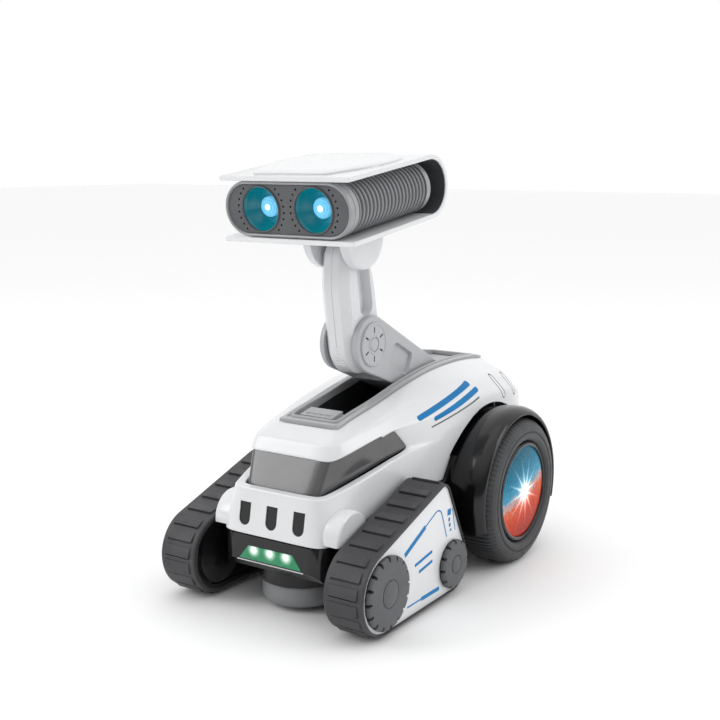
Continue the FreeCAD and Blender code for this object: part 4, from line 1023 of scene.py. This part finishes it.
# Tread bars: each rises to a sharp lower edge with a groove below it.
BAR = [(-2.7, 0.0), (-2.6, 0.3), (2.1, 0.9), (2.3, 0.75), (2.4, -0.5), (2.95, -0.5), (3.05, 0.0)]
SLOPE_BARS, WHEEL_BARS, REST_BARS = 5, 7, 11
STATION_STEP = 1.3
whole_length = sum(run[1] for run in RUNS)
wheel_length, top_length, slope_length = (RUNS[index][1] for index in (0, 4, 5))
bars = [whole_length - slope_length * (0.10 + 0.19 * index) for index in range(SLOPE_BARS)]
bars += [POD[0][2] * math.radians(15 + 22.0 * index) for index in range(WHEEL_BARS)]
rest_from = wheel_length + 6.0
rest_to = whole_length - slope_length - top_length
bars += [rest_from + (rest_to - rest_from - 4.0) * index / (REST_BARS - 1)
         for index in range(REST_BARS)]
bars.append(whole_length - slope_length - top_length * 0.42)
stations = [(centre + step, rise) for centre in sorted(bars) for step, rise in BAR]
taken = [place for place, rise in stations]
steps = int(whole_length / STATION_STEP)
for index in range(steps):
    place = index * whole_length / steps
    if all(not centre - 2.9 < place < centre + 3.25 for centre in bars):
        stations.append((place, 0.0))
    elif all(abs(place - other) > 0.45 for other in taken):
        centre = min(bars, key=lambda bar: abs(bar - place))
        stations.append((place, 0.3 + 0.6 * (place - centre + 2.6) / 4.7))
stations.sort()
# Across the belt: place along X, rise, and how much of a bar's rise is added
ACROSS = [(38.0, -1.1, 0), (38.2, -0.45, 0), (38.8, 0.0, 0), (41.0, 0.0, 0), (41.15, 0.0, 1),
          (56.3, 0.0, 1), (56.45, 0.0, 0), (58.7, 0.0, 0), (59.2, -0.4, 0), (59.4, -1.0, 0)]
for word, side in SIDES:
    rings = []
    for place, rise in stations:
        ring = [(side * x, *belt_place(place, base + rise * share)) for x, base, share in ACROSS]
        ring += [(side * x, *belt_place(place, -inset))
                 for x, inset in ((BELT_OUT, EDGE_THICK), (REBATE, EDGE_THICK),
                                  (REBATE, BELT_THICK), (BELT_IN, BELT_THICK))]
        rings.append(ring)
    make(f"belt_{word}", *closed_loft(rings), "belt_rubber", "chassis", (f"track_belt_{word}",),
         28)
    plate = sheer(pod_line, ((56.4, 2.3), (57.45, 2.3), (57.45, 1.2), (58.3, 1.2), (58.5, 1.3),
                             (58.6, 1.55)), side)
    make(f"plate_{word}", *plate, "shell_white", "chassis", (f"track_plate_{word}",), 30)

# Inner covers: a dished glossy black face with a boss at the front wheel's place
covers = []
boss = [(38.9, 0.02), (36.2, 0.02), (36.2, 7.4), (36.5, 8.2), (37.2, 12.0), (38.0, 14.6),
        (38.9, 14.6)]
low_boss = [(38.9, 0.02), (37.2, 0.02), (37.2, 6.0), (37.6, 7.4), (38.1, 9.0), (38.9, 9.0)]
for side in (1, -1):
    covers.append(sheer(pod_line, ((40.0, 2.3), (38.2, 2.3), (38.0, 2.6), (38.0, 4.2),
                                   (38.5, 4.9)), side))
    covers.append(turned_x(boss, POD[0][:2], 96, side))
    covers.append(turned_x(low_boss, POD[1][:2], 96, side))
make("inner_covers", *together(*covers), "chassis_black", "chassis", ("track_inner_covers",), 30)

# Discs: notched dark faces, each on a thin black back plate
DISC_BACK = 59.3
NOTCH_STEPS, NOTCH_CUT = 20, 4


def notched(radius, depth, step, cut):
    """A change of profile that cuts square notches into a disc's rim."""
    def shape(index, x, reach):
        if index % step < cut and x > DISC_BACK and reach > radius - depth:
            return x, radius - depth
        return x, reach
    return shape


for name, spot, radius, notches in (("front_disc", POD[0], 17.3, 16),
                                    ("rear_disc", POD[1], 12.2, 12)):
    hub = radius * 0.37
    profile = [(59.35, 2.06), (60.1, 2.06), (60.1, 0.02), (61.65, 0.02), (61.65, hub - 0.5),
               (61.5, hub - 0.2), (61.1, hub - 0.15), (61.1, hub + 0.15), (61.45, hub + 0.2),
               (61.5, hub + 0.5), (61.35, radius * 0.88), (61.1, radius - 0.7),
               (60.6, radius - 0.15), (60.0, radius), (59.35, radius)]
    back = [(58.72, 2.06), (DISC_BACK, 2.06), (DISC_BACK, radius - 0.15), (58.72, radius - 0.15)]
    for word, side in SIDES:
        body = f"{name}_{'l' if side > 0 else 'r'}"
        lathe(f"{name}_face_{word}", profile, spot[:2], "disc_grey", body,
              (f"{name}_{word}",), notches * NOTCH_STEPS, side, 28,
              notched(radius, radius * 0.14, NOTCH_STEPS, NOTCH_CUT))
        lathe(f"{name}_back_{word}", back, spot[:2], "insert_black", body, (), 96, side)


# Blue stripes printed on the outer plates
def strip_solid(points, width, low, high, side=1):
    """A flat band along points (y, z), as a thin solid between two places along X."""
    rings = []
    for i, point in enumerate(points):
        before = Vector(points[max(0, i - 1)])
        after = Vector(points[min(len(points) - 1, i + 1)])
        along = (after - before).normalized()
        aside = Vector((-along.y, along.x)) * width / 2
        left, right = tuple(Vector(point) + aside), tuple(Vector(point) - aside)
        rings.append([(side * low, *left), (side * high, *left), (side * high, *right),
                      (side * low, *right)])
    return loft(rings)


# The second height keeps bands that cross from sharing a face
PRINT_LOW, PRINT_HIGH, PRINT_OVER = 58.55, 58.65, 58.66
turn_line = rounded([(-41.6, 42.8), (-27.4, 49.4), (-20.8, 32.4)], [0, 5.5, 0], 8, False)
BANDS = [([(-59.6, 34.2), (-41.2, 43.0)], 2.4, PRINT_OVER), (turn_line, 0.75, PRINT_HIGH)]
for y, z, long, width in ((-18.6, 44.4, 3.4, 3.2), (-18.5, 40.6, 1.6, 1.9),
                          (-17.9, 37.7, 1.6, 1.9), (-17.0, 35.0, 1.6, 1.2)):
    BANDS.append(([(y - long / 2, z), (y + long / 2, z)], width, PRINT_HIGH))
BANDS += [([(-15.5, 45.6), (-12.6, 33.8)], 0.6, PRINT_HIGH),
          ([(-57.2, 8.3), (-44.4, 8.4)], 0.8, PRINT_HIGH),
          ([(-44.6, 8.4), (-27.6, 8.4)], 2.0, PRINT_OVER)]
for y, z, long in ((-50.6, 26.6, 16.0), (-46.8, 22.4, 12.4)):
    BANDS.append(([(y, z), (y + long, z + long * 0.16)], 1.5, PRINT_HIGH))
for word, side in SIDES:
    bands = [strip_solid(points, width, PRINT_LOW, high, side) for points, width, high in BANDS]
    make(f"plate_stripes_{word}", *together(*bands), "decal_blue", "chassis")

# ---------------------------------------------------------------- arms
ELBOW = (-14.3, 122.0)
SHOULDER_PIVOT = (48.0, 93.0)
NECK = (-22.171, 164.679)
HEADING = math.atan2(NECK[1] - ELBOW[1], NECK[0] - ELBOW[0])
SLOPE = math.atan2(SHOULDER_PIVOT[1] - ELBOW[1], SHOULDER_PIVOT[0] - ELBOW[0])
PIN_HOLE = 2.56
FORK_ROOM, FORK_ROOM_HALF = 25.5, 8.62


def along_link(distance):
    """The point (y, z) on the upper arm's middle line at a distance from the elbow."""
    return (ELBOW[0] + distance * math.cos(HEADING), ELBOW[1] + distance * math.sin(HEADING))


def link_line(inset):
    """The upper arm's outline (y, z), drawn in by an inset."""
    middle = (*along_link(30.0), 14.4 - inset)
    return belt_line([(*ELBOW, 15.3 - inset), middle, (*NECK, 11.4 - inset), middle], 5)


def fork_line(inset):
    """The lower arm's outline (y, z), drawn in by an inset."""
    return belt_line([(*ELBOW, 14.4 - inset), (*SHOULDER_PIVOT, 11.0 - inset)], 4)


POCKET = along_link(19.5)
RECESS = (12.4, 110.8)


def pocket_line(radius):
    """The outline (y, z) of the pocket in the upper arm's side."""
    return moved(belt_line([(0.0, -2.2, radius), (16.0, -2.2, radius)], 9), POCKET, HEADING)


def recess_line(inset):
    """The outline (y, z) of the recess in the lower arm's side, drawn in by an inset."""
    corners = [(-10.6 + inset, -6.6 + inset), (9.2 - inset, -6.6 + inset),
               (10.2 - inset, 6.2 - inset), (-9.6 + inset, 6.8 - inset)]
    return moved(rounded(corners, 3.4 - 0.75 * inset, 5), RECESS, SLOPE)


# Places along X, each with how far the outline is drawn in there
LINK_PLACES = ((0.02, 0.25), (0.25, 0.0), (4.35, 0.0), (8.05, 3.7), (8.25, 4.1))
FORK_PLACES = ((0.02, 0.3), (0.25, 0.0), (10.6, 0.0), (11.2, 0.25), (11.5, 0.8))
for word, side in SIDES:
    link = make(f"upper_arm_half_{word}", *sheer(link_line, LINK_PLACES, side), "neck_white",
                "upper_arm", (f"upper_arm_{word}",), 24)
    pocket = sheer(pocket_line, ((3.3, 5.2), (9.0, 5.6)), side)
    bores = [prism(circle(at, PIN_HOLE), 0.0, 9.5, side) for at in (ELBOW, NECK)]
    carve(link, [cutter("link_cuts", *together(pocket, *bores))], angle=24)
    fork = make(f"lower_arm_half_{word}", *sheer(fork_line, FORK_PLACES, side), "arm_grey",
                "lower_arm", (f"lower_arm_{word}",), 26)
    room = prism(circle(ELBOW, FORK_ROOM, 96), -1.0, FORK_ROOM_HALF, side)
    recess = sheer(recess_line, ((9.5, 0.8), (11.7, 0.0)), side)
    bore = prism(circle(SHOULDER_PIVOT, PIN_HOLE), -1.0, 13.0, side)
    carve(fork, [cutter("fork_room", *room), cutter("fork_cuts", *together(recess, bore))],
          angle=26)


def dial(side):
    """The round cover over the elbow pin: outer groove, hub ring and rim."""
    profile = [(11.2, 0.02), (12.35, 0.02), (12.35, 3.2), (11.9, 3.35), (11.9, 3.75), (12.45, 3.85),
               (12.55, 4.1), (12.55, 4.7), (12.4, 4.95), (12.25, 5.05), (12.25, 9.7), (12.45, 9.9),
               (12.6, 10.2), (12.55, 10.8), (12.3, 11.15), (11.7, 11.3), (11.2, 11.3)]
    return turned_x(profile, ELBOW, 120, side)


dial_piece = make("elbow_dials", *together(dial(1), dial(-1)), "arm_grey", "lower_arm", (), 28)
slots = []
floors = []
for side in (1, -1):
    for inner, outer in zip(arc(ELBOW, 5.9, 60, 6, 90), arc(ELBOW, 8.8, 60, 6, 90)):
        slots.append(strip_solid([inner, outer], 0.95, 11.9, 13.2, side))
        floors.append(strip_solid([inner, outer], 0.9, 11.7, 11.95, side))
carve(dial_piece, [cutter("dial_slots", *together(*slots))], angle=28)
make("dial_slot_floors", *together(*floors), "insert_black", "lower_arm")

# Fine ridges across the foot of the upper arm, on its front face
RIDGE = [(15.25 + rise, along) for rise, along in ((-0.3, -0.5), (0.28, -0.2), (0.28, 0.2),
                                                   (-0.3, 0.5))]
ridges = [prism(moved(RIDGE, ELBOW, math.radians(181.0 + 6.5 * index)), -2.6, 2.6)
          for index in range(7)]
make("arm_ridges", *together(*ridges), "neck_white", "upper_arm")

# ---------------------------------------------------------------- neck bracket
TABLE_LOW, TABLE_HIGH = -20.2, -15.7
EAR_RADIUS = 16.4


def ring_flat(radius, z):
    """A circle about the pan axis, in the head's own frame."""
    return [(x, y, z) for x, y in circle((0.0, PAN_BACK), radius, 120)]


def ear_line(inset):
    """A half disc that hangs from the turntable, in the head's own frame."""
    radius = EAR_RADIUS - inset
    return arc((PAN_BACK, TABLE_LOW), radius, 5, 37, 180) + [
        (PAN_BACK + radius, TABLE_LOW + 2.0), (PAN_BACK - radius, TABLE_LOW + 2.0)]


table = loft([ring_flat(radius, z) for radius, z in (
    (18.9, TABLE_LOW), (19.8, TABLE_LOW + 0.2), (20.3, TABLE_LOW + 0.8), (22.2, TABLE_HIGH - 0.8),
    (22.5, TABLE_HIGH - 0.4), (22.4, TABLE_HIGH))])
spigot = loft([ring_flat(5.0, -19.0), ring_flat(5.0, -13.1)])
EAR_PLACES = ((8.6, 0.35), (8.95, 0.0), (12.1, 0.0), (13.0, 0.35), (13.6, 1.3), (13.95, 2.8))
ears = [sheer(ear_line, EAR_PLACES, side) for side in (1, -1)]
make("neck_turntable", *on_head(together(table, spigot)), "neck_grey", "neck",
     ("neck_bracket",), 30)
make("neck_ears", *on_head(together(*ears)), "neck_white", "neck", (), 30)


# ---------------------------------------------------------------- trim round the arm channel
def along_roof(points, section):
    """A section of (outward, up) carried round a closed plan line on the roof."""
    rings = []
    count = len(points)
    for i, point in enumerate(points):
        way = Vector(points[(i + 1) % count]) - Vector(points[i - 1])
        way.normalize()
        out = Vector((way.y, -way.x))
        height = curve_through(ROOF, point[1])
        rings.append([(point[0] + out.x * u, point[1] + out.y * u, height + v)
                      for u, v in section])
    return closed_loft(rings)


def plan_line(half, front, rear, corner):
    """A long round-cornered outline of the roof (x, y), with points all along its sides."""
    corners = rounded([(half, front), (half, rear), (-half, rear), (-half, front)], corner, 5)
    points = []
    for i, point in enumerate(corners):
        following = corners[(i + 1) % len(corners)]
        points.append(point)
        steps = int(math.dist(point, following) / 4.0)
        for k in range(1, steps):
            points.append((point[0] + (following[0] - point[0]) * k / steps,
                           point[1] + (following[1] - point[1]) * k / steps))
    return points


lip = along_roof(plan_line(13.7, -49.6, 88.0, 2.6),
                 [(-0.75, -0.4), (-0.75, 1.35), (-0.45, 1.7), (0.35, 1.7), (0.95, 1.35), (1.1, 0.8),
                  (1.1, -0.4)])
make("trim_lip", *lip, "trim_grey", "chassis", (), 35)
# The outer band is a lighter copy of the lip's grey: painted light on the band
band = along_roof(plan_line(16.2, -52.3, 90.6, 2.2),
                  [(-0.95, -0.4), (-0.95, 1.0), (-0.75, 1.2), (0.75, 1.2), (1.15, 0.95),
                   (1.25, 0.5), (1.25, -0.4)])
make("trim_band", *band, "trim_light", "chassis", (), 35)

# ---------------------------------------------------------------- nose
LAMP_HALF, LAMP_MIDDLE, LAMP_HALF_HIGH = 18.4, 29.4, 3.4
LAMP = [(-LAMP_HALF, 26.0), (LAMP_HALF, 26.0), (13.2, 32.8), (-13.2, 32.8)]


def lamp_ring(y, inset):
    """The light bar's outline at a depth, drawn in by an inset."""
    return [(x * (1.0 - inset / LAMP_HALF), y,
             LAMP_MIDDLE + (z - LAMP_MIDDLE) * (1.0 - inset / LAMP_HALF_HIGH))
            for x, z in rounded(LAMP, 0.6, 3)]


lamp = loft([lamp_ring(y, inset) for y, inset in ((-82.7, 0.05), (-84.9, 0.05), (-85.15, 0.25),
                                                  (-85.2, 0.7))])
make("light_bar", *lamp, "light_green", "chassis", ("light_bar_lens",), 30)
nose_line = prism([(-84.2, 25.0), (-85.25, 25.1), (-85.25, 25.6), (-84.2, 25.7)], -19.6, 19.6)
make("nose_line", *nose_line, "contact_steel", "chassis")

# ---------------------------------------------------------------- side bosses over the pods
BOSS = (-69.0, 41.0)
BOSS_RADIUS, BOSS_FOOT = 12.7, 39.6


def boss_line(inset):
    """A round boss cut off along the hem, over the pod's front wheel."""
    radius = BOSS_RADIUS - inset
    return arc(BOSS, radius, 5, 37) + [(BOSS[0] - radius, BOSS_FOOT),
                                       (BOSS[0] + radius, BOSS_FOOT)]


bosses = [sheer(boss_line, ((27.0, 0.0), (35.4, 0.0), (36.1, 0.3), (36.6, 1.1)), side)
          for side in (1, -1)]
make("side_bosses", *together(*bosses), "shell_white", "chassis", (), 30)

# ---------------------------------------------------------------- drive drum
DRUM_Y = -59.0


def drum_block(half, bottom, top, low, high, side=1):
    """A block across the drum's middle plane, from low to high along X."""
    return prism([(DRUM_Y - half, bottom), (DRUM_Y + half, bottom), (DRUM_Y + half, top),
                  (DRUM_Y - half, top)], low, high, side)


cup_profile = [(0.05, 2.5), (16.2, 2.5), (18.0, 3.0), (19.2, 4.0), (19.85, 5.4), (20.0, 7.0),
               (20.0, 12.6), (19.7, 13.2), (19.2, 13.5), (18.0, 13.6), (18.0, 23.6), (16.8, 23.6),
               (16.8, 3.9), (0.05, 3.9)]
cup_rings = [[(x, y, z) for x, y in circle((0.0, DRUM_Y), radius, 120)]
             for radius, z in cup_profile]
cup = make("drum_shell", *loft(cup_rings), "drum_grey", "drum", ("drum_cup",), 30)
wheel_gaps = [drum_block(9.5, -2.0, 10.0, 10.5, 15.1, side) for side in (1, -1)]
gear_gap = drum_block(4.5, 1.5, 4.5, 7.9, 10.4)
carve(cup, [cutter("drum_gaps", *together(*wheel_gaps, gear_gap))], angle=30)
posts = [drum_block(2.5, 3.5, 10.7, low, low + 1.4) for low in (-9.6, 4.2)]
make("drum_bearings", *together(*posts), "drum_grey", "drum", (), 30, 0.25)

# ---------------------------------------------------------------- floor, lights, camera
FLOOR_WHITE = (0.95, 0.95, 0.95)
pale = Nodes("floor_pale")
pale.surface(Base_Color=pale.mix(pale.noise(3.0), scaled(FLOOR_WHITE, 0.985), FLOOR_WHITE),
             Roughness=0.7)
mesh = bpy.data.meshes.new("floor")
work = bmesh.new()
bmesh.ops.create_grid(work, x_segments=8, y_segments=8, size=6.0)
work.to_mesh(mesh)
work.free()
mesh.materials.append(pale.material)
stand("floor", mesh)

# A studio with a white backdrop behind the object and overhead, and a dimmer
# room on the camera's side
world = bpy.data.worlds.new("studio")
world.use_nodes = True
sky = world.node_tree
toward = add_node(sky, "TexCoord").outputs["Generated"]
split = add_node(sky, "SeparateXYZ")
facing = add_node(sky, "VectorMath", operation="DOT_PRODUCT")
facing.inputs[1].default_value = (-0.55, 0.83, 0.0)
around = add_node(sky, "MapRange", interpolation_type="SMOOTHSTEP", From_Min=-0.5, From_Max=0.75,
                  To_Min=0.27, To_Max=1.0)
overhead = add_node(sky, "MapRange", interpolation_type="SMOOTHSTEP", From_Min=0.15,
                    From_Max=0.8)
strength = add_node(sky, "Mix", data_type="FLOAT")
strength.inputs["B"].default_value = 1.12
background = sky.nodes["Background"]
background.inputs["Color"].default_value = (1.0, 1.0, 1.0, 1.0)
for source, target in ((toward, split.inputs["Vector"]), (toward, facing.inputs[0]),
                       (facing.outputs["Value"], around.inputs["Value"]),
                       (split.outputs["Z"], overhead.inputs["Value"]),
                       (overhead.outputs["Result"], strength.inputs["Factor"]),
                       (around.outputs["Result"], strength.inputs["A"]),
                       (strength.outputs["Result"], background.inputs["Strength"])):
    sky.links.new(source, target)
bpy.context.scene.world = world

for name, at, size, power in (("key", (-0.8, -0.8, 0.65), (0.5, 0.7), 3.9),
                              ("fill", (1.0, 0.42, 0.55), (0.5, 0.8), 3.0),
                              ("top", (0.1, -0.1, 1.1), (0.9, 0.6), 0.6)):
    lamp_data = bpy.data.lights.new(name, "AREA")
    lamp_data.shape = "RECTANGLE"
    lamp_data.size, lamp_data.size_y = size
    lamp_data.energy = power
    item = stand(name, lamp_data)
    item.location = at
    toward_middle = Vector((0, 0, 0.09)) - Vector(at)
    item.rotation_euler = toward_middle.to_track_quat("-Z", "Y").to_euler()

camera_data = bpy.data.cameras.new("camera")
camera_data.sensor_width = 36.0
camera_data.lens = 57.53
camera = stand("camera", camera_data)
camera.location = (0.3218, -0.4891, 0.2150)
aim = Vector((-0.0033, -0.0041, 0.1111))
camera.rotation_mode = "QUATERNION"
camera.rotation_quaternion = (aim - camera.location).to_track_quat("-Z", "Y")
bpy.context.scene.camera = camera
bpy.context.scene.view_settings.view_transform = "Standard"
